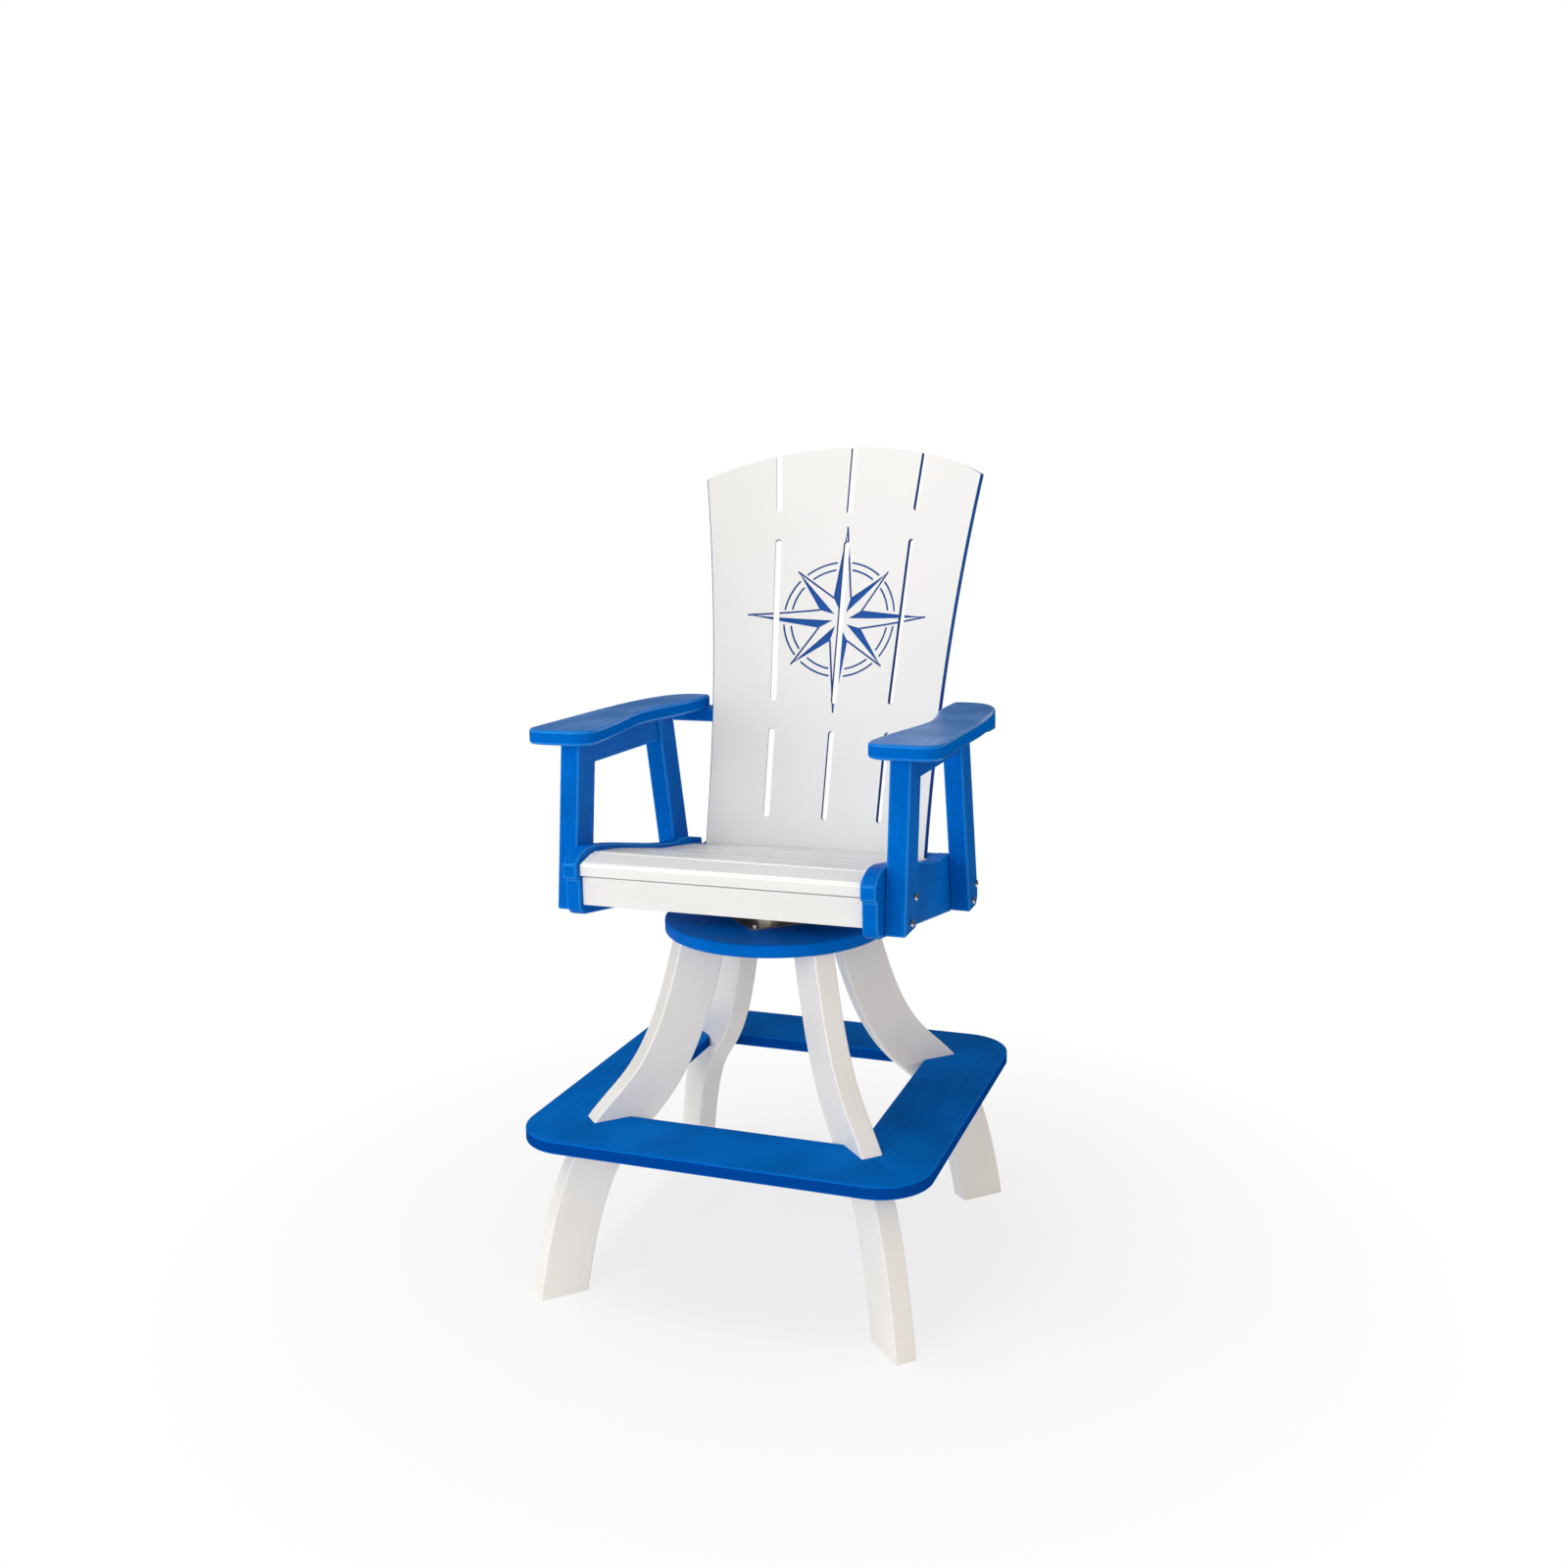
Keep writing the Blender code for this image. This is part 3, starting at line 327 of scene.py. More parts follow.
def poly_lumber(name, face, streak, edge, gleam, sheen="#FFFFFF", core=None, sawn=None):
    """High-density polyethylene board, extruded and brushed: an even satin colour with faint streaks along
    the board, a fine pebble, and soft highlights. Its edges, rounded by a router, are smoother, and may be
    painted paler as a painted highlight. Sawn sides may have a colour of their own and then no gloss; on
    the footrest that colour is a painted shade. A core, painted darker as a painted shade, shows where a
    cut goes through the skin."""
    finish, tree, shader = new_finish(name)
    grain = add(tree, "Attribute", {"attribute_name": "grain"}).outputs["Vector"]
    along = add(
        tree, "Mapping", {"Scale": (1 / BRUSH_LONG, 1 / BRUSH_WIDE, 1 / BRUSH_WIDE)}, {"Vector": grain}
    )
    brushed = add(
        tree,
        "TexNoise",
        {"Scale": 1.0, "Detail": 3.0, "Roughness": 0.6},
        {"Vector": along.outputs[0]},
    ).outputs["Fac"]
    pebble = add(tree, "TexNoise", {"Scale": 1 / PEBBLE, "Detail": 2.0}, {"Vector": grain}).outputs["Fac"]
    wave = add(tree, "TexNoise", {"Scale": 1 / WAVE, "Detail": 1.0}, {"Vector": grain}).outputs["Fac"]
    mottle = add(tree, "Math", {"operation": "ADD"}, {0: brushed, 1: wave}).outputs[0]
    tone = add(tree, "MapRange", MOTTLE, {"Value": mottle})
    colour = add(
        tree,
        "Mix",
        {"data_type": "RGBA", 6: linear(face), 7: linear(streak)},
        {0: tone.outputs["Result"]},
    ).outputs[2]
    # the sides' own colour, on the footrest a painted shade, with no gloss there
    if sawn:
        side = add(tree, "Attribute", {"attribute_name": "sawn"}).outputs["Fac"]
        colour = add(tree, "Mix", {"data_type": "RGBA", 7: linear(sawn)}, {0: side, 6: colour}).outputs[2]
        level = add(tree, "Math", {"operation": "MULTIPLY_ADD", 1: -gleam, 2: gleam}, {0: side})
        tree.links.new(level.outputs[0], shader.inputs["Specular IOR Level"])
    # rounded edges get a smoother finish and a paler colour, which is a painted highlight
    routed = add(tree, "Attribute", {"attribute_name": "routed"}).outputs["Fac"]
    colour = add(tree, "Mix", {"data_type": "RGBA", 7: linear(edge)}, {0: routed, 6: colour}).outputs[2]
    # the core shows in a darker blue, partly a painted shade
    if core:
        depth = add(tree, "SeparateXYZ", {}, {"Vector": grain}).outputs["Y"]
        middle = add(tree, "Math", {"operation": "SUBTRACT", 1: BACK_THICK / 2}, {0: depth})
        off = add(tree, "Math", {"operation": "ABSOLUTE"}, {0: middle.outputs[0]})
        inside = add(
            tree, "Math", {"operation": "LESS_THAN", 1: BACK_THICK / 2 - BACK_SKIN}, {0: off.outputs[0]}
        )
        colour = add(
            tree,
            "Mix",
            {"data_type": "RGBA", 7: linear(core)},
            {0: inside.outputs[0], 6: colour},
        ).outputs[2]
    satin = add(tree, "MapRange", {**MOTTLE, **SATIN}, {"Value": mottle}).outputs["Result"]
    rough = add(tree, "Math", {"operation": "MULTIPLY_ADD", 1: -ROUTED_POLISH}, {0: routed, 2: satin})
    slow = add(tree, "Bump", {"Strength": 0.25, "Distance": 0.003}, {"Height": wave})
    lines = add(
        tree,
        "Bump",
        {"Strength": 0.05, "Distance": 0.0006},
        {"Height": brushed, "Normal": slow.outputs["Normal"]},
    )
    skin = add(
        tree,
        "Bump",
        {"Strength": 0.10, "Distance": 0.0005},
        {"Height": pebble, "Normal": lines.outputs["Normal"]},
    )
    shader.inputs["IOR"].default_value = 1.50
    shader.inputs["Specular IOR Level"].default_value = gleam
    shader.inputs["Specular Tint"].default_value = linear(sheen)
    tree.links.new(colour, shader.inputs["Base Color"])
    tree.links.new(rough.outputs[0], shader.inputs["Roughness"])
    tree.links.new(skin.outputs["Normal"], shader.inputs["Normal"])
    return finish


def bright_metal(name, face, shade, patch, low, high):
    """A metal whose plating or polish clouds from one tone to another over patches of a size."""
    finish, tree, shader = new_finish(name)
    place = add(tree, "TexCoord", {}).outputs["Object"]
    cloud = add(tree, "TexNoise", {"Scale": 1 / patch, "Detail": 4.0, "Roughness": 0.65}, {"Vector": place})
    colour = add(
        tree,
        "Mix",
        {"data_type": "RGBA", 6: linear(face), 7: linear(shade)},
        {0: cloud.outputs["Fac"]},
    )
    rough = add(
        tree,
        "MapRange",
        {"From Min": 0.3, "From Max": 0.7, "To Min": low, "To Max": high},
        {"Value": cloud.outputs["Fac"]},
    )
    bump = add(tree, "Bump", {"Strength": 0.08, "Distance": 0.0004}, {"Height": cloud.outputs["Fac"]})
    shader.inputs["Metallic"].default_value = 1.0
    tree.links.new(colour.outputs[2], shader.inputs["Base Color"])
    tree.links.new(rough.outputs["Result"], shader.inputs["Roughness"])
    tree.links.new(bump.outputs["Normal"], shader.inputs["Normal"])
    return finish


FINISHES = {
    # Deep blue that stays full in the light, with hardly any gloss
    "blue_poly_lumber": poly_lumber(
        "blue_poly_lumber_board", BLUE_FACE, BLUE_STREAK, BLUE_PAINTED_EDGE_HIGHLIGHT, BLUE_GLEAM, BLUE_SHEEN
    ),
    # Cool white with a soft sheen
    "white_poly_lumber": poly_lumber(
        "white_poly_lumber_board", WHITE_FACE, WHITE_STREAK, WHITE_PAINTED_EDGE_HIGHLIGHT, WHITE_GLEAM
    ),
    # Pickled and tumbled screws: a warm silver, cloudy over 3 mm
    "stainless_steel": bright_metal("stainless_screw_steel", "#EAE5DA", "#CFC9BC", 0.003, 0.22, 0.36),
    # Zinc plate with a passivation that tints it straw, in spangles of 7 mm
    "zinc_plated_steel": bright_metal("zinc_plated_pressing", "#DDD6C6", "#C2BAA8", 0.007, 0.28, 0.45),
}
# The legs are painted a brighter, warmer white than the other white boards: painted light
leg_board = poly_lumber("white_poly_lumber_leg", LEG_FACE_PAINTED_LIGHT, LEG_STREAK_PAINTED_LIGHT, LEG_FACE_PAINTED_LIGHT, WHITE_GLEAM)
# The arms' faces have more gloss and are painted a lighter, more teal blue as a painted sheen; their sawn
# sides are matt
arm_board = poly_lumber(
    "blue_poly_lumber_arm", ARM_FACE_PAINTED_SHEEN, ARM_STREAK_PAINTED_SHEEN, BLUE_PAINTED_EDGE_HIGHLIGHT, ARM_GLEAM, BLUE_SHEEN, sawn=ARM_SAWN
)
# The footrest is scuffed quite matt; its sawn sides are painted a darker blue, a painted shade
tread_board = poly_lumber(
    "blue_poly_lumber_tread", TREAD_FACE, TREAD_STREAK, TREAD_EDGE, TREAD_GLEAM, BLUE_SHEEN, sawn=TREAD_SIDE_PAINTED_SHADE
)
# White sheet on a blue core, which colours its cut edges; the core is painted darker than the boards' blue,
# a painted shade on the cut edges and in the grooves
three_layer_sheet = poly_lumber(
    "three_layer_sheet", WHITE_FACE, SHEET_STREAK, WHITE_PAINTED_EDGE_HIGHLIGHT, SHEET_GLEAM, core=CORE_BLUE_PAINTED_SHADE
)


# Working the boards

STOCK, ROUTED, SAWN = range(3)  # material slots that tell a board's faces apart while it is worked


def only(board):
    """Selects one object and nothing else."""
    bpy.ops.object.select_all(action="DESELECT")
    board.select_set(True)
    bpy.context.view_layer.objects.active = board


def open_up(board):
    """Goes into edit mode on one object, with all of its mesh selected."""
    only(board)
    bpy.ops.object.mode_set(mode="EDIT")
    bpy.ops.mesh.select_all(action="SELECT")


def saw(name, outline, thickness):
    """Saws a board out of flat stock: its outline lies in XY, and its thickness goes up from there."""
    bpy.ops.object.select_all(action="DESELECT")
    bpy.ops.mesh.primitive_circle_add(vertices=len(outline), fill_type="NGON")
    board = bpy.context.object
    board.name = board.data.name = name
    for corner, spot in zip(board.data.vertices, outline):
        corner.co = (*spot, 0)
    open_up(board)
    bpy.ops.mesh.extrude_region_move(TRANSFORM_OT_translate={"value": (0, 0, thickness)})
    bpy.ops.mesh.select_all(action="SELECT")
    bpy.ops.mesh.normals_make_consistent(inside=False)
    bpy.ops.object.mode_set(mode="OBJECT")
    for _ in (STOCK, ROUTED, SAWN):
        board.data.materials.append(None)
    for face in board.data.polygons:
        upright = abs(face.normal.z) < 0.5
        face.material_index = SAWN if upright else STOCK
    return board


def lathe(name, profile, sides):
    """Turns a solid from a profile of (radius, height), from its foot up."""
    bpy.ops.object.select_all(action="DESELECT")
    (radius, height), *rest = profile
    bpy.ops.mesh.primitive_circle_add(
        vertices=sides, radius=radius, fill_type="NGON", location=(0, 0, height)
    )
    bpy.ops.object.transform_apply(location=True)
    turned = bpy.context.object
    turned.name = turned.data.name = name
    open_up(turned)
    for next_radius, next_height in rest:
        bpy.ops.mesh.extrude_region_move(TRANSFORM_OT_translate={"value": (0, 0, next_height - height)})
        share = next_radius / radius
        bpy.ops.transform.resize(value=(share, share, 1), center_override=(0, 0, 0))
        radius, height = next_radius, next_height
    bpy.ops.mesh.select_all(action="SELECT")
    bpy.ops.mesh.normals_make_consistent(inside=False)
    bpy.ops.object.mode_set(mode="OBJECT")
    return turned


def saw_off(board, spot, outward):
    """Cuts off what lies past a plane and closes the cut."""
    open_up(board)
    bpy.ops.mesh.bisect(plane_co=spot, plane_no=outward, use_fill=True, clear_outer=True)
    bpy.ops.object.mode_set(mode="OBJECT")


def ease(board, radius, square=None, steps=EASE_STEPS):
    """Rounds a board's edges over, apart from those whose middle lies where it stays square."""
    open_up(board)
    bpy.ops.mesh.select_mode(type="EDGE")
    bpy.ops.mesh.select_all(action="DESELECT")
    bpy.ops.mesh.edges_select_sharp(sharpness=SHARP)
    if square:
        bpy.ops.object.mode_set(mode="OBJECT")
        corners = board.data.vertices
        for edge in board.data.edges:
            start, end = (corners[index].co for index in edge.vertices)
            edge.select = edge.select and not square((start + end) / 2)
        for face in board.data.polygons:
            face.select = False
        bpy.ops.object.mode_set(mode="EDIT")
    bpy.ops.mesh.bevel(
        offset=radius, segments=steps, profile=0.5, affect="EDGES", clamp_overlap=True, material=ROUTED
    )
    bpy.ops.object.mode_set(mode="OBJECT")


def apply_boolean(board, tool, operation):
    """Works one shape into a board and clears it away."""
    only(board)
    bpy.ops.object.modifier_add(type="BOOLEAN")
    change = board.modifiers[-1]
    change.operation = operation
    change.solver = "EXACT"
    change.object = tool
    bpy.ops.object.modifier_apply(modifier=change.name)
    bpy.data.objects.remove(tool, do_unlink=True)


def cut(board, *tools):
    """Cuts shapes that don't touch one another out of a board."""
    only(tools[0])
    for tool in tools:
        tool.select_set(True)
    if len(tools) > 1:
        bpy.ops.object.join()
    apply_boolean(board, tools[0], "DIFFERENCE")


def placed(board, place):
    board.data.transform(place)
    return board


def copy_of(board, name, move):
    """A like piece with a mesh of its own, moved from the first one's place."""
    twin = board.copy()
    twin.data = board.data.copy()
    twin.name = twin.data.name = name
    bpy.context.collection.objects.link(twin)
    return placed(twin, move)


finished = []


def note_edges(board):
    """Keeps which faces are rounded edges, and which are sawn sides."""
    for word, kind in (("routed", ROUTED), ("sawn", SAWN)):
        marks = board.data.attributes.new(word, "FLOAT", "FACE")
        for mark, face in zip(marks.data, board.data.polygons):
            mark.value = face.material_index == kind


def note_grain(board, place, along):
    """Keeps each point's place on the stock it was sawn from, with the first axis along the board."""
    to_stock = place.inverted()
    shift = STREAK_SHIFT * len(finished)
    grain = board.data.attributes.new("grain", "FLOAT_VECTOR", "POINT")
    for mark, corner in zip(grain.data, board.data.vertices):
        spot = to_stock @ corner.co
        mark.vector = (spot[along] + shift, spot[(along + 1) % 3], spot[(along + 2) % 3])


def hand_over(piece, finish, body, slot, *nodes):
    """Smooths a piece's rounded edges and hands it to its body, in place of its CAD solids."""
    only(piece)
    bpy.ops.object.shade_smooth_by_angle(angle=SMOOTH)
    bpy.ops.object.modifier_add(type="WEIGHTED_NORMAL")
    piece.modifiers[-1].keep_sharp = True
    bpy.ops.object.modifier_apply(modifier=piece.modifiers[-1].name)
    piece.data.materials.clear()
    piece.data.materials.append(finish)
    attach(piece, body)
    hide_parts(*nodes)
    finished.append(piece)


def finish_board(board, colour, body, node, place, along, finish=None):
    """Hands over a board in its colour's finish, or in one of its own."""
    slot = colour + "_poly_lumber"
    note_grain(board, place, along)
    note_edges(board)
    hand_over(board, finish or FINISHES[slot], body, slot, node)


# Outlines


def arc(centre_x, centre_y, radius, start, end, steps=CORNER_STEPS):
    """Points on an arc, with its angles in degrees."""
    angles = [math.radians(start + (end - start) * step / steps) for step in range(steps + 1)]
    return [(centre_x + radius * math.cos(a), centre_y + radius * math.sin(a)) for a in angles]


def flow(points, steps=CURVE_STEPS):
    """Points on a smooth curve through the given ones."""
    knots = [Vector(point) for point in points]
    knots = [2 * knots[0] - knots[1], *knots, 2 * knots[-1] - knots[-2]]
    found = []
    for a, b, c, d in zip(knots, knots[1:], knots[2:], knots[3:]):
        for step in range(steps):
            t = step / steps
            bend = (2 * a - 5 * b + 4 * c - d) * t * t + (3 * b - a - 3 * c + d) * t**3
            found.append(tuple((2 * b + (c - a) * t + bend) / 2))
    return [*found, tuple(knots[-2])]


def rectangle(low_x, low_y, high_x, high_y):
    return [(low_x, low_y), (high_x, low_y), (high_x, high_y), (low_x, high_y)]


def round_ended(start, end, width):
    """Outline of a slot or groove between two points."""
    run = end - start
    facing = math.degrees(math.atan2(run.y, run.x))
    near_end = arc(*start, width / 2, facing + 90, facing + 270)
    return near_end + arc(*end, width / 2, facing - 90, facing + 90)


# Legs, footrest and disc


def leg_outline(grow=0.0):
    """Side outline of a leg, radius by height, still running past the floor and the disc."""
    top = Vector((LEG_TOP_RADIUS, LEG_TOP))
    foot = Vector((LEG_FOOT_RADIUS, 0))
    top_pull = top + LEG_TOP_PULL * Vector((math.sin(LEG_TOP_SLANT), -math.cos(LEG_TOP_SLANT)))
    foot_pull = foot - LEG_FOOT_PULL * Vector((math.sin(LEG_FOOT_SLANT), -math.cos(LEG_FOOT_SLANT)))
    outer = []
    inner = []
    for step in range(LEG_STEPS + 1):
        t = step / LEG_STEPS * (1 + 2 * LEG_OVERRUN) - LEG_OVERRUN
        u = 1 - t
        centre = u**3 * top + 3 * u * u * t * top_pull + 3 * u * t * t * foot_pull + t**3 * foot
        run = u * u * (top_pull - top) + 2 * u * t * (foot_pull - top_pull) + t * t * (foot - foot_pull)
        side = Vector((-run.y, run.x)).normalized() * (LEG_WIDTH / 2 + grow)
        outer.append(tuple(centre + side))
        inner.append(tuple(centre - side))
    return outer + inner[::-1]


def leg_place(degrees, thickness):
    return swing(degrees) @ AXIS @ FACE_ON @ lift(-thickness / 2)


def make_legs():
    """One leg, sawn off level at the disc and the floor, and copied to the four corners."""
    leg = saw("leg", leg_outline(), LEG_THICK)
    saw_off(leg, (0, LEG_TOP, 0), (0, 1, 0))
    saw_off(leg, (0, 0, 0), (0, -1, 0))
    ease(leg, BOARD_EASE)
    for corner, degrees in LEG_ANGLES.items():
        place = leg_place(degrees, LEG_THICK)
        made = copy_of(leg, corner + "_leg_board", place)
        finish_board(made, "white", "base", "leg_" + corner, place, 1, leg_board)
    bpy.data.objects.remove(leg, do_unlink=True)


def footrest_outline():
    """The front board of the ring, mitred at both ends and rounded at the outer corners."""
    middle = FOOTREST_HALF - FOOTREST_CORNER
    inner = FOOTREST_HALF - FOOTREST_WIDTH
    part = math.degrees(math.asin(GAP / 2 / FOOTREST_CORNER))
    set_back = GAP / math.sqrt(2)
    outline = [(set_back - inner, -inner)]
    outline += arc(-middle, -middle, FOOTREST_CORNER, 225 + part, 270)
    outline += arc(middle, -middle, FOOTREST_CORNER, 270, 315 - part)
    return outline + [(inner - set_back, -inner)]


def on_mitre(spot):
    """Whether a point of the front board lies on one of its mitred ends."""
    return abs(abs(spot.x) + spot.y) < NEAR


def make_footrest():
    """One mitred board, notched round two legs, and copied round the four sides."""
    place = AXIS @ lift(FOOTREST_TOP - FOOTREST_THICK)
    board = saw("footrest", footrest_outline(), FOOTREST_THICK)
    ease(board, TREAD_EASE, square=on_mitre)
    placed(board, place)
    thick = LEG_THICK + 2 * GAP
    for corner in ("front_left", "front_right"):
        notch = saw("notch", leg_outline(GAP), thick)
        cut(board, placed(notch, leg_place(LEG_ANGLES[corner], thick)))
    for side, degrees in FOOTREST_TURNS.items():
        made = copy_of(board, side + "_footrest_board", swing(degrees))
        finish_board(made, "blue", "base", "footrest_" + side, swing(degrees) @ place, 0, tread_board)
    bpy.data.objects.remove(board, do_unlink=True)


def make_disc():
    """Round board with eased rims, counterbored for the screws into the legs."""
    foot = DISC_TOP - DISC_THICK
    rim = DISC_RADIUS - BOARD_EASE
    profile = arc(rim, foot + BOARD_EASE, BOARD_EASE, -90, 0, RIM_STEPS)
    profile += arc(rim, DISC_TOP - BOARD_EASE, BOARD_EASE, 0, 90, RIM_STEPS)
    disc = placed(lathe("round_base_board", profile, DISC_STEPS), AXIS)
    bores = []
    for degrees in LEG_ANGLES.values():
        low = DISC_TOP - LEG_SCREW_HEIGHT - LEG_SCREW_SINK - GAP
        wide = LEG_SCREW_HEAD + GAP
        bore = lathe("bore", [(wide, low), (wide, DISC_TOP + wide)], BORE_STEPS)
        bores.append(placed(bore, swing(degrees) @ AXIS @ Matrix.Translation((LEG_SCREW_PLACE, 0, 0))))
    cut(disc, *bores)
    finish_board(disc, "blue", "base", "base_disc", AXIS, 0)


# Seat

rail_top_curve = flow(RAIL_TOP_LINE)


def rail_top(y):
    """Height of the rails' top edge at a depth."""
    for (y0, z0), (y1, z1) in zip(rail_top_curve, rail_top_curve[1:]):
        if y <= y1:
            break
    return z0 + (z1 - z0) * (y - y0) / (y1 - y0)


def seat_line(y):
    """Height of the slats' upper faces: straight from joint to joint, a step below the rails."""
    for y0, y1 in zip(SLAT_LINES, SLAT_LINES[1:]):
        if y <= y1:
            break
    z0 = rail_top(y0) - SLAT_DROP
    z1 = rail_top(y1) - SLAT_DROP
    return z0 + (z1 - z0) * (y - y0) / (y1 - y0)


def rail_outline():
    """Side outline of a seat rail: contoured top, stepped nose, sloping foot."""
    nose_y, nose_z = RAIL_TOP_LINE[0]
    rear_y, _ = RAIL_TOP_LINE[-1]
    front = nose_y + RAIL_NOSE_STEP
    under = nose_z - RAIL_NOSE_DROP
    foot = arc(front + RAIL_FOOT_ROUND, RAIL_FRONT_FOOT + RAIL_FOOT_ROUND, RAIL_FOOT_ROUND, 262, 180)
    lower = [(rear_y, RAIL_REAR_FOOT), (rear_y - RAIL_REAR_FLAT, RAIL_REAR_FOOT), *foot]
    return [*rail_top_curve, *lower, (front, under - RAIL_NOSE_STEP / 2), (nose_y, under)]


def cleat_outline():
    """Strip under the slats, from the apron's back to short of the back's edge."""
    front = APRON_FRONT + APRON_THICK + GAP
    spots = [front, *(y for y in SLAT_LINES if front < y < CLEAT_REAR), CLEAT_REAR]
    top = [(y, seat_line(y) - SLAT_THICK - GAP) for y in spots]
    return top + [(y, z - CLEAT_HEIGHT) for y, z in reversed(top)]


def make_pair(words, outline, thickness, radius, inner, colour, node, along):
    """A board standing side-on, and its like on the other side of the chair."""
    board = saw(words, outline, thickness)
    ease(board, radius)
    for side, start in (("left", -inner - thickness), ("right", inner)):
        place = SIDE_ON @ lift(start)
        made = copy_of(board, f"{side}_{words}", place)
        finish_board(made, colour, "seat", f"{node}_{side}", place, along)
    bpy.data.objects.remove(board, do_unlink=True)


def make_seat_frame():
    """Rails, cleats, apron and the boards over the swivel."""
    make_pair("seat_rail_board", rail_outline(), RAIL_THICK, BOARD_EASE, RAIL_INNER, "blue", "seat_rail", 0)
    inner = SLAT_HALF - CLEAT_THICK
    make_pair("cleat_strip", cleat_outline(), CLEAT_THICK, SMALL_EASE, inner, "white", "seat_cleat", 0)
    apron_top = seat_line(APRON_FRONT) - SLAT_THICK - APRON_SHADOW
    apron = saw("apron_board", rectangle(-SLAT_HALF, APRON_FOOT, SLAT_HALF, apron_top), APRON_THICK)
    ease(apron, SMALL_EASE)
    place = AXIS @ Matrix.Translation((0, APRON_FRONT + APRON_THICK, 0)) @ FACE_ON
    finish_board(placed(apron, place), "white", "seat", "seat_apron", place, 0)
    for word, low in (("front", -MOUNT_BOARD_FAR), ("rear", MOUNT_BOARD_NEAR)):
        high = low + MOUNT_BOARD_FAR - MOUNT_BOARD_NEAR
        outline = rectangle(GAP - inner, low, inner - GAP, high)
        board = saw(f"{word}_swivel_board", outline, MOUNT_BOARD_THICK)
        ease(board, SMALL_EASE)
        place = AXIS @ lift(MOUNT_BOARD_FOOT)
        finish_board(placed(board, place), "white", "seat", "mounting_board_" + word, place, 0)


def below_slat_top(spot):
    """Whether a point of a slat, drawn depth by height, lies clear of its upper face."""
    return spot.y < seat_line(spot.x) - 0.4 * SLAT_THICK


def make_slats():
    """Six slats, the rear one hollowed to clear the back."""
    for number, (start, end) in enumerate(zip(SLAT_LINES, SLAT_LINES[1:]), 1):
        front = start + (SLAT_GAP / 2 if number > 1 else 0)
        rear = end - SLAT_GAP / 2
        outline = [(front, seat_line(front)), (rear, seat_line(rear))]
        outline += [(y, z - SLAT_THICK) for y, z in reversed(outline)]
        slat = saw(f"seat_slat_board_{number}", outline, 2 * SLAT_HALF)
        ease(slat, SLAT_EASE, square=below_slat_top, steps=4)
        ease(slat, SMALL_EASE)
        place = SIDE_ON @ lift(-SLAT_HALF)
        placed(slat, place)
        if rear > CLEAT_REAR:
            cut(slat, back_block(-BACK_GAP, LOWER_RAIL_REAR - LOWER_RAIL_FRONT))
        finish_board(slat, "white", "seat", f"seat_slat_{number}", place, 2)


# Back


def back_half(length):
    """Half width of the back across its edges, at a length up from the seat."""
    flare = (BACK_CORNER_HALF - BACK_FOOT_HALF) / BACK_CORNER_LENGTH**2
    return BACK_FOOT_HALF + flare * max(length, 0) ** 2


def back_radius(length):
    """Radius of the bow, whose depth grows towards the top."""
    half = back_half(length)
    bow = BACK_BOW_FOOT + (BACK_BOW_TOP - BACK_BOW_FOOT) * length / BACK_MIDDLE_LENGTH
    return (half * half + bow * bow) / (2 * bow)


def back_reach(length):
    """Half width of the sheet laid flat."""
    radius = back_radius(length)
    return radius * math.asin(back_half(length) / radius)


def bowed(across, length, depth):
    """Point of the bowed sheet for a point of the flat one, at a depth behind the front face."""
    radius = back_radius(length)
    turn = across / radius
    behind = (radius + depth) * math.cos(turn) - math.sqrt(radius**2 - back_half(length) ** 2)
    lean, rise = math.sin(BACK_LEAN), math.cos(BACK_LEAN)
    return Vector(
        (
            (radius + depth) * math.sin(turn),
            SWIVEL_Y + BACK_FOOT_Y + length * lean + behind * rise,
            BACK_FOOT_Z + length * rise - behind * lean,
        )
    )


def slice_sheet(sheet):
    """Adds edges across a flat sheet at even steps, so that it can bend there."""
    for axis, pitch in ((0, BACK_COLUMN), (1, BACK_ROW)):
        places = [corner.co[axis] / pitch for corner in sheet.data.vertices]
        facing = Vector((0, 0, 0))
        facing[axis] = 1
        open_up(sheet)
        for step in range(math.ceil(min(places)), math.floor(max(places)) + 1):
            bpy.ops.mesh.select_all(action="SELECT")
            bpy.ops.mesh.bisect(plane_co=facing * pitch * step, plane_no=facing, threshold=1e-6)
        bpy.ops.object.mode_set(mode="OBJECT")


def bend(sheet):
    """Bends a sliced sheet, drawn across by length by depth, to the curve of the back."""
    for corner in sheet.data.vertices:
        corner.co = bowed(*corner.co)
    open_up(sheet)
    bpy.ops.mesh.flip_normals()
    bpy.ops.object.mode_set(mode="OBJECT")


def back_block(near, far):
    """Room for the back in the boards round it: a bowed slab, wider than the back, between two depths."""
    tall = LOWER_RAIL_THICK + BACK_TUCK
    outline = rectangle(-UPPER_RAIL_HALF, -tall, UPPER_RAIL_HALF, BACK_CORNER_LENGTH)
    block = placed(saw("room_for_back", outline, far - near), lift(near))
    slice_sheet(block)
    bend(block)
    return block


def back_outline():
    """The sheet laid flat: square foot, flared edges and a round top."""
    edge = [BACK_CORNER_LENGTH * step / BACK_EDGE_STEPS for step in range(BACK_EDGE_STEPS + 1)]
    right = [(back_reach(length), length) for length in (-BACK_TUCK, *edge)]
    chord = back_reach(BACK_CORNER_LENGTH)
    rise = BACK_MIDDLE_LENGTH - BACK_CORNER_LENGTH
    radius = (chord**2 + rise**2) / (2 * rise)
    sweep = math.degrees(math.asin(chord / radius))
    top = arc(0, BACK_MIDDLE_LENGTH - radius, radius, 90 - sweep, 90 + sweep, BACK_TOP_STEPS)
    return right + top[1:-1] + [(-across, length) for across, length in reversed(right)]


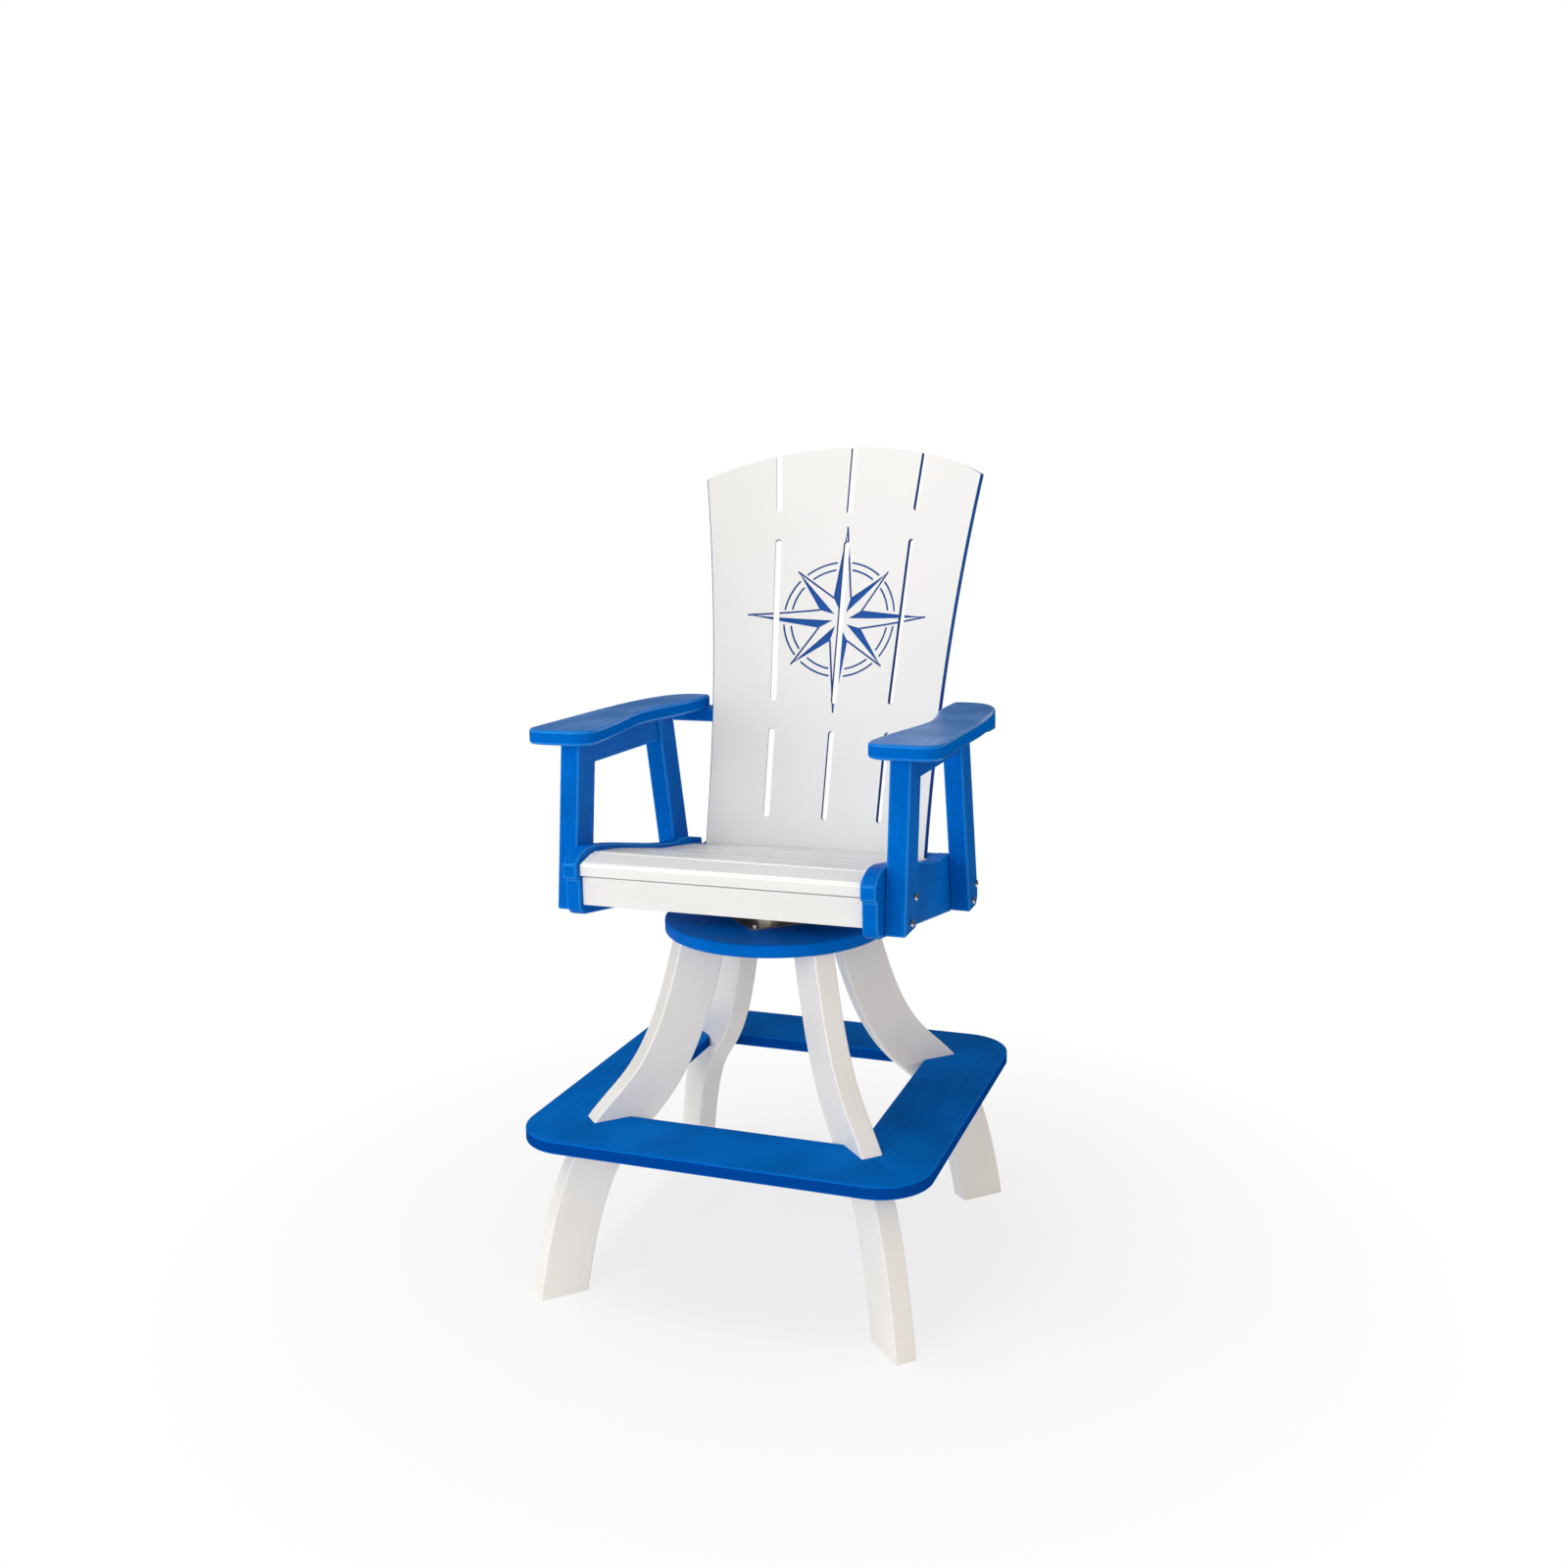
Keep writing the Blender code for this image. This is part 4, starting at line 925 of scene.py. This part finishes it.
def slot_tools():
    """Three rows of three slots, which keep their places across the sheet as it widens."""
    tools = []
    for share in (-SLOT_SHARE, 0, SLOT_SHARE):
        for low, high in SLOT_SPANS:
            start = Vector((share * back_reach(low), low))
            end = Vector((share * back_reach(high), high))
            inset = (end - start).normalized() * SLOT_WIDTH / 2
            tool = saw("slot", round_ended(start + inset, end - inset, SLOT_WIDTH), 3 * BACK_THICK)
            tools.append(placed(tool, lift(-BACK_THICK)))
    return tools


def star_spot(radius, degrees):
    """Point of the flat sheet at a radius and a compass bearing from the star's middle."""
    angle = math.radians(degrees)
    return Vector((radius * math.sin(angle), STAR_MIDDLE + radius * math.cos(angle)))


def graver(outline):
    """A shape that engraves the front of the sheet."""
    return placed(saw("graver", outline, 2 * ENGRAVED_DEPTH), lift(-ENGRAVED_DEPTH))


def ring_part(radius, start, end):
    """Outline of a round-ended groove along part of a ring of the star, by compass degrees."""
    outer = arc(0, STAR_MIDDLE, radius + ENGRAVED_WIDTH / 2, 90 - start, 90 - end)
    inner = arc(0, STAR_MIDDLE, radius - ENGRAVED_WIDTH / 2, 90 - end, 90 - start)
    near_end = arc(*star_spot(radius, start), ENGRAVED_WIDTH / 2, 270 - start, 90 - start, SMALL_ARC_STEPS)
    far_end = arc(*star_spot(radius, end), ENGRAVED_WIDTH / 2, 90 - end, -90 - end, SMALL_ARC_STEPS)
    return outer + far_end[1:-1] + inner + near_end[1:-1]


def ring_clearance(radius, reach):
    """Degrees that a ring stays away from the ridge of a point of the star."""
    root = STAR_WAIST * math.cos(math.radians(STAR_STEP / 2))
    half = STAR_WAIST * math.sin(math.radians(STAR_STEP / 2)) * max(reach - radius, 0) / (reach - root)
    return math.degrees((half + STAR_CLEAR) / radius)


def star_tools():
    """A compass star: eight points, each cut away on one side of its ridge and drawn in outline on the
    other, over two broken rings. The tools come in groups that don't touch within themselves."""
    shaded, edges, rings = [], [], []
    for turn in range(STAR_POINTS):
        facing = STAR_STEP * turn
        reach, next_reach = (STAR_SHORT, STAR_LONG) if turn % 2 else (STAR_LONG, STAR_SHORT)
        tip = star_spot(reach, facing)
        eye = star_spot(STAR_EYE, facing - STAR_EYE_TURN)
        shaded.append(graver([eye, tip, star_spot(STAR_WAIST, facing - STAR_STEP / 2)]))
        waist = star_spot(STAR_WAIST, facing + STAR_STEP / 2)
        edges.append(graver(round_ended(tip, waist, ENGRAVED_WIDTH)))
        for radius in STAR_RINGS:
            start = facing + ring_clearance(radius, reach)
            end = facing + STAR_STEP - ring_clearance(radius, next_reach)
            rings.append(graver(ring_part(radius, start, end)))
    return shaded, edges, rings


def make_back():
    """The sheet is cut and engraved flat, its grain noted there, and then bowed."""
    sheet = saw("bowed_back_sheet", back_outline(), BACK_THICK)
    cut(sheet, *slot_tools())
    ease(sheet, SHEET_EASE, steps=2)
    for tools in star_tools():
        cut(sheet, *tools)
    slice_sheet(sheet)
    note_grain(sheet, Matrix(), 1)
    bend(sheet)
    hand_over(sheet, three_layer_sheet, "seat", "white_poly_lumber", "back_panel")


def make_cross_rails():
    """Boards behind the back, hollowed to its bow: one at the seat, one under the rear ends of the arms."""
    thick = BACK_THICK + GAP
    lower = saw(
        "lower_cross_board",
        rectangle(-SLAT_HALF, LOWER_RAIL_FRONT, SLAT_HALF, LOWER_RAIL_REAR),
        LOWER_RAIL_THICK,
    )
    ease(lower, SMALL_EASE)
    place = AXIS @ lift(LOWER_RAIL_FOOT)
    cut(placed(lower, place), back_block(LOWER_RAIL_FRONT - LOWER_RAIL_REAR, thick))
    finish_board(lower, "blue", "seat", "lower_back_rail", place, 0)
    half = [
        (UPPER_RAIL_HALF, UPPER_RAIL_REAR),
        (UPPER_RAIL_HALF / 2, UPPER_RAIL_REAR + 0.75 * UPPER_RAIL_BOW),
    ]
    middle = (0, UPPER_RAIL_REAR + UPPER_RAIL_BOW)
    outline = [(-UPPER_RAIL_HALF, UPPER_RAIL_FRONT), (UPPER_RAIL_HALF, UPPER_RAIL_FRONT)]
    outline += flow([*half, middle, *((-x, y) for x, y in reversed(half))])
    upper = saw("upper_cross_board", outline, UPPER_RAIL_THICK)
    ease(upper, BOARD_EASE)
    place = ARM_FRAME @ lift(-ARM_THICK - GAP - UPPER_RAIL_THICK)
    cut(placed(upper, place), back_block(LOWER_RAIL_FRONT - LOWER_RAIL_REAR, thick))
    finish_board(upper, "blue", "seat", "upper_back_rail", place, 0)


# Arms and posts


def arm_outline(sign):
    """Plan of an arm: round front, waisted inner edge, rear swept in from the outside."""
    outer = flow(ARM_OUTER_LINE)
    inner = flow(ARM_INNER_LINE)
    front = ARM_FRONT + ARM_FRONT_ROUND
    outline = arc(inner[0][0] + ARM_FRONT_ROUND, front, ARM_FRONT_ROUND, 180, 270)
    outline += arc(outer[0][0] - ARM_FRONT_ROUND, front, ARM_FRONT_ROUND, 270, 360)
    heel_x = inner[-1][0] + ARM_HEEL_ROUND
    heel_y = outer[-1][1] - ARM_HEEL_ROUND
    heel = arc(heel_x, heel_y, ARM_HEEL_ROUND, 90, 180, SMALL_ARC_STEPS)
    outline += outer[:-1] + heel + inner[-2::-1]
    return [(sign * x, y) for x, y in outline]


def leaning_edge(y, foot, lean):
    """A leaning edge, as its place, its height there and its run for each unit of rise."""
    return y, foot, math.tan(lean)


def under_arm(edge, drop):
    """Where a leaning edge meets the plane that lies a drop below the arms' lower faces."""
    y, z, run = edge
    fall = math.tan(ARM_TILT)
    level = ARM_TOP - (ARM_THICK + drop) / math.cos(ARM_TILT)
    height = (level - fall * (y - run * z)) / (1 + fall * run)
    return y + run * (height - z), height


def make_arms():
    """Posts on the rails, a board between each pair under the arm, and the arms themselves."""
    front = leaning_edge(FRONT_POST_Y, FRONT_POST_FOOT, FRONT_POST_LEAN)
    front_back_y = FRONT_POST_Y + POST_WIDTH / math.cos(FRONT_POST_LEAN)
    front_back = leaning_edge(front_back_y, FRONT_POST_FOOT, FRONT_POST_LEAN)
    rear = leaning_edge(REAR_POST_Y, REAR_POST_FOOT, REAR_POST_LEAN)
    rear_back_y = REAR_POST_Y + POST_WIDTH / math.cos(REAR_POST_LEAN)
    rear_back = leaning_edge(rear_back_y, REAR_POST_FOOT, REAR_POST_LEAN)

    front_post = [front[:2], front_back[:2], under_arm(front_back, GAP), under_arm(front, GAP)]
    make_pair("front_post_board", front_post, POST_THICK, BOARD_EASE, POST_INNER, "blue", "post_front", 1)
    back_y, foot, run = rear_back
    centre = back_y - REAR_POST_ROUND + run * REAR_POST_ROUND / 2
    heel = arc(centre, foot + REAR_POST_ROUND, REAR_POST_ROUND, 270, 360 - math.degrees(REAR_POST_LEAN))
    rear_post = [rear[:2], *heel, under_arm(rear_back, GAP), under_arm(rear, GAP)]
    make_pair("rear_post_board", rear_post, POST_THICK, BOARD_EASE, POST_INNER, "blue", "post_rear", 1)

    rail_front = (front_back_y + GAP, *front_back[1:])
    rail_rear = (REAR_POST_Y - GAP, *rear[1:])
    arm_rail = [under_arm(rail_front, ARM_RAIL_HEIGHT), under_arm(rail_rear, ARM_RAIL_HEIGHT)]
    arm_rail += [under_arm(rail_rear, GAP), under_arm(rail_front, GAP)]
    inner = POST_INNER + (POST_THICK - ARM_RAIL_THICK) / 2
    make_pair("arm_rail_board", arm_rail, ARM_RAIL_THICK, SMALL_EASE, inner, "blue", "arm_rail", 0)

    place = ARM_FRAME @ lift(-ARM_THICK)
    for side, sign in (("left", -1), ("right", 1)):
        arm = saw(side + "_arm_board", arm_outline(sign), ARM_THICK)
        ease(arm, ARM_EASE, steps=4)
        finish_board(placed(arm, place), "blue", "seat", "arm_" + side, place, 1, arm_board)


# Screws and bolts


def pan_head_screw():
    """Domed head with a cross recess, on a plain shank, drawn pointing down from its seat."""
    rise = POST_SCREW_HEIGHT
    profile = [(0.4 * POST_SCREW_SHANK, -POST_SCREW_LENGTH)]
    profile += [(POST_SCREW_SHANK, POST_SCREW_TIP - POST_SCREW_LENGTH)]
    profile += [(POST_SCREW_SHANK, 0), (0.94 * POST_SCREW_HEAD, 0), (POST_SCREW_HEAD, 0.12 * rise)]
    dome = [(0.98, 0.42), (0.90, 0.66), (0.76, 0.85), (0.58, 0.95), (0.36, 0.995), (0.12, 1.0)]
    profile += [(POST_SCREW_HEAD * wide, rise * high) for wide, high in dome]
    screw = lathe("pan_head_screw", profile, SCREW_STEPS)
    cut(screw, cross_recess(0.58 * POST_SCREW_HEAD, rise))
    return screw


def cross_recess(reach, height):
    """Driver's cross, as wide as its reach at the top and narrowing down."""
    slim = 0.28 * reach
    corners = [(reach, -slim), (reach, slim), (slim, slim)]
    outline = []
    for turn in range(4):
        spin = Matrix.Rotation(math.radians(90 * turn), 2)
        outline += [tuple(spin @ Vector(corner)) for corner in corners]
    return placed(saw("recess", outline, height), lift(0.35 * height))


def flat_head_screw():
    """Sunk screw for the legs."""
    profile = [(0.4 * LEG_SCREW_SHANK, -LEG_SCREW_LENGTH)]
    profile += [(LEG_SCREW_SHANK, LEG_SCREW_TIP - LEG_SCREW_LENGTH)]
    profile += [(LEG_SCREW_SHANK, 0), (0.92 * LEG_SCREW_HEAD, 0), (LEG_SCREW_HEAD, 0.2 * LEG_SCREW_HEIGHT)]
    profile += [(LEG_SCREW_HEAD, 0.75 * LEG_SCREW_HEIGHT), (0.9 * LEG_SCREW_HEAD, LEG_SCREW_HEIGHT)]
    screw = lathe("flat_head_screw", profile, SCREW_STEPS)
    cut(screw, cross_recess(0.55 * LEG_SCREW_HEAD, LEG_SCREW_HEIGHT))
    return screw


def flange_bolt():
    """Six-sided head on a round flange, drawn pointing down from its seat."""
    flange = 0.3 * BOLT_HEIGHT
    profile = [(0.8 * BOLT_SHANK, -BOLT_LENGTH), (BOLT_SHANK, BOLT_TIP - BOLT_LENGTH), (BOLT_SHANK, 0)]
    profile += [(BOLT_HEAD, 0), (BOLT_HEAD, 0.5 * flange), (0.85 * BOLT_HEAD, flange)]
    bolt = lathe("flange_bolt", profile, SCREW_STEPS)
    wide = 0.80 * BOLT_HEAD
    hexagon = [(wide, 0.5 * flange), (wide, 0.9 * BOLT_HEIGHT), (0.9 * wide, BOLT_HEIGHT)]
    apply_boolean(bolt, lathe("bolt_hexagon", hexagon, 6), "UNION")
    return bolt


def drive(pattern, name, place, body, node):
    """Puts a like screw or bolt in its place."""
    made = copy_of(pattern, name, place)
    hand_over(made, FINISHES["stainless_steel"], body, "stainless_steel", node)


def make_fasteners():
    """One screw or bolt of each kind, copied to its places."""
    screw = pan_head_screw()
    for side, sign in (("left", -1), ("right", 1)):
        outward = Matrix.Rotation(math.radians(sign * 90), 4, "Y")
        for word, (y, z) in POST_SCREW_SPOTS.items():
            seat = AXIS @ Matrix.Translation((sign * (POST_INNER + POST_THICK + GAP), y, z))
            place = seat @ outward @ Matrix.Rotation(y * POST_SCREW_SPIN, 4, "Z")
            drive(screw, f"{side}_post_pan_screw_{word}", place, "seat", f"post_screw_{side}_{word}")
    sunk = flat_head_screw()
    seat = Matrix.Translation((LEG_SCREW_PLACE, 0, DISC_TOP - LEG_SCREW_SINK - LEG_SCREW_HEIGHT))
    for corner, degrees in LEG_ANGLES.items():
        place = swing(degrees) @ AXIS @ seat
        drive(sunk, corner + "_leg_flat_screw", place, "base", "leg_screw_" + corner)
    bolt = flange_bolt()
    seat = Matrix.Translation((BOLT_PLACE, 0, LOWER_BOLT_SEAT))
    for turn, word in enumerate(("right", "rear", "left", "front")):
        place = swing(90 * turn) @ AXIS @ seat
        drive(bolt, "lower_flange_bolt_" + word, place, "base", "swivel_lower_bolt_" + word)
    seat = Matrix.Translation((BOLT_PLACE, 0, UPPER_BOLT_SEAT)) @ Matrix.Rotation(math.pi, 4, "X")
    for turn, word in enumerate(("rear_right", "rear_left", "front_left", "front_right")):
        place = swing(45 + 90 * turn) @ AXIS @ seat
        drive(bolt, "upper_flange_bolt_" + word, place, "seat", "swivel_upper_bolt_" + word)
    for pattern in (screw, sunk, bolt):
        bpy.data.objects.remove(pattern, do_unlink=True)


make_legs()
make_footrest()
make_disc()
make_seat_frame()
make_slats()
make_back()
make_cross_rails()
make_arms()
make_fasteners()

for name in ("swivel_lower_plate", "swivel_upper_plate", "swivel_pin", "swivel_pin_nut"):
    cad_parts[name].material_slots[0].material = FINISHES["zinc_plated_steel"]
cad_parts["ball_ring"].material_slots[0].material = FINISHES["stainless_steel"]


# Studio

CAMERA_SPOT = (0.9339, -2.5504, 1.3566)
CAMERA_YAW = math.radians(20.24)
CAMERA_PITCH = math.radians(10.78)
CAMERA_ROLL = math.radians(-0.98)
CAMERA_LENS = 35.73
CHAIR_MIDDLE = Vector((0, 0, 0.70))
LEG_MIDDLE = Vector((0, 0, 0.20))
FLOOR_RADIUS = 1.9
FLOOR_STEPS = 96
FLOOR_PALE = "#F6F6F4"
FLOOR_WHITE_FROM = 0.3  # the floor turns from pale to the white of the background over this span of radii
FLOOR_WHITE_TO = 1.2
FLOOR_WHITE_LEAST = 0.72  # how white it is under the chair
DAYLIGHT = "#F8FBFF"
LAMPLIGHT = "#FFE2C4"
AMBIENT_SIDE = 0.74  # soft light from round the chair
AMBIENT_TOP = 0.44  # and from straight above
AMBIENT_TINT = "#FFFBF5"
ROOM = 0.015  # how bright the room round the camera shows in gloss
# The backdrop fades at its foot, at its top and towards the room, by height and depth on the unit sphere
BACKDROP_FOOT_FROM = 0.105
BACKDROP_FOOT_TO = 0.135
BACKDROP_TOP_FROM = 0.19
BACKDROP_TOP_TO = 0.24
BACKDROP_SIDE_FROM = 0.1
BACKDROP_SIDE_TO = 0.6


def make_camera():
    """Stands where the photograph was taken from."""
    lens = bpy.data.cameras.new("camera")
    lens.lens = CAMERA_LENS
    camera = bpy.data.objects.new("camera", lens)
    bpy.context.scene.collection.objects.link(camera)
    turn = Euler((math.pi / 2 - CAMERA_PITCH, 0, CAMERA_YAW)).to_matrix()
    turn = turn @ Matrix.Rotation(CAMERA_ROLL, 3, "Z")
    camera.matrix_world = Matrix.Translation(CAMERA_SPOT) @ turn.to_4x4()
    bpy.context.scene.camera = camera


def make_lamp(name, spot, wide, tall, watts, aim=CHAIR_MIDDLE, tint="#FFFFFF"):
    """Soft box that faces a point of the chair."""
    lamp = bpy.data.lights.new(name, "AREA")
    lamp.shape = "RECTANGLE"
    lamp.size = wide
    lamp.size_y = tall
    lamp.energy = watts
    lamp.color = linear(tint)[:3]
    holder = bpy.data.objects.new(name, lamp)
    bpy.context.scene.collection.objects.link(holder)
    holder.location = spot
    holder.rotation_euler = (aim - Vector(spot)).to_track_quat("-Z", "Y").to_euler()


def seen_directly(tree):
    """One where the camera sees a surface directly, or in metal or glass."""
    path = add(tree, "LightPath", {})
    seen = add(
        tree,
        "Math",
        {"operation": "MAXIMUM"},
        {0: path.outputs["Is Camera Ray"], 1: path.outputs["Is Glossy Ray"]},
    )
    return add(
        tree,
        "Math",
        {"operation": "MAXIMUM"},
        {0: seen.outputs[0], 1: path.outputs["Is Transmission Ray"]},
    ).outputs[0]


def make_world():
    """White to the eye and a softer light on the chair. Gloss shows the white backdrop behind the chair, up
    to its top edge, and the dimmer room round the camera."""
    world = bpy.data.worlds.new("studio")
    bpy.context.scene.world = world
    world.use_nodes = True
    tree = world.node_tree
    tree.nodes.clear()
    facing = add(tree, "SeparateXYZ", {}, {"Vector": add(tree, "TexCoord", {}).outputs["Generated"]})
    height = facing.outputs["Z"]
    soft = add(tree, "MapRange", {"To Min": AMBIENT_SIDE, "To Max": AMBIENT_TOP}, {"Value": height})
    light = add(tree, "Background", {"Color": linear(AMBIENT_TINT)}, {"Strength": soft.outputs[0]})
    behind = add(
        tree,
        "MapRange",
        {"From Min": BACKDROP_SIDE_FROM, "From Max": BACKDROP_SIDE_TO},
        {"Value": facing.outputs["Y"]},
    )
    below = add(
        tree, "MapRange", {"From Min": BACKDROP_TOP_TO, "From Max": BACKDROP_TOP_FROM}, {"Value": height}
    )
    above = add(
        tree, "MapRange", {"From Min": BACKDROP_FOOT_FROM, "From Max": BACKDROP_FOOT_TO}, {"Value": height}
    )
    band = add(tree, "Math", {"operation": "MULTIPLY"}, {0: above.outputs[0], 1: below.outputs[0]})
    backdrop = add(tree, "Math", {"operation": "MULTIPLY"}, {0: behind.outputs[0], 1: band.outputs[0]})
    gloss = add(tree, "MapRange", {"To Min": ROOM, "To Max": 1.0}, {"Value": backdrop.outputs[0]})
    path = add(tree, "LightPath", {})
    strength = add(
        tree, "Math", {"operation": "MAXIMUM"}, {0: gloss.outputs[0], 1: path.outputs["Is Camera Ray"]}
    )
    white = add(tree, "Background", {"Color": (1, 1, 1, 1)}, {"Strength": strength.outputs[0]})
    mixed = add(tree, "MixShader", {}, {0: seen_directly(tree), 1: light.outputs[0], 2: white.outputs[0]})
    add(tree, "OutputWorld", {}, {"Surface": mixed.outputs[0]})


def make_floor():
    """Pale floor that keeps the chair's shadow and runs out into the white background."""
    bpy.ops.object.select_all(action="DESELECT")
    bpy.ops.mesh.primitive_circle_add(vertices=FLOOR_STEPS, radius=FLOOR_RADIUS, fill_type="NGON")
    floor = bpy.context.object
    floor.name = "studio_floor"
    finish, tree, shader = new_finish("pale_floor_paper")
    shader.inputs["Base Color"].default_value = linear(FLOOR_PALE)
    shader.inputs["Roughness"].default_value = 0.9
    place = add(tree, "TexCoord", {}).outputs["Object"]
    radius = add(tree, "VectorMath", {"operation": "LENGTH"}, {0: place})
    span = {"From Min": FLOOR_WHITE_FROM, "From Max": FLOOR_WHITE_TO}
    white_share = {"To Min": FLOOR_WHITE_LEAST, "To Max": 1.0}
    away = add(tree, "MapRange", {**span, **white_share}, {"Value": radius.outputs["Value"]})
    share = add(
        tree, "Math", {"operation": "MULTIPLY"}, {0: away.outputs["Result"], 1: seen_directly(tree)}
    )
    white = add(tree, "Emission", {"Color": (1, 1, 1, 1), "Strength": 1.0})
    mixed = add(tree, "MixShader", {}, {0: share.outputs[0], 1: shader.outputs[0], 2: white.outputs[0]})
    tree.links.new(mixed.outputs[0], tree.nodes["Material Output"].inputs["Surface"])
    floor.data.materials.append(finish)


make_camera()
make_lamp("key_soft_box", (-1.5, -4.2, 2.2), wide=3.0, tall=2.6, watts=24, tint=DAYLIGHT)
make_lamp("top_soft_box", (-0.9, -0.7, 3.4), wide=0.6, tall=0.6, watts=18)
make_lamp("right_soft_box", (3.1, -1.0, 1.4), wide=1.6, tall=2.0, watts=6.5, tint=LAMPLIGHT)
make_lamp("low_soft_box", (-1.0, -3.2, 1.3), wide=2.6, tall=1.2, watts=28, aim=LEG_MIDDLE, tint=DAYLIGHT)
make_world()
make_floor()
bpy.context.scene.view_settings.view_transform = "Standard"
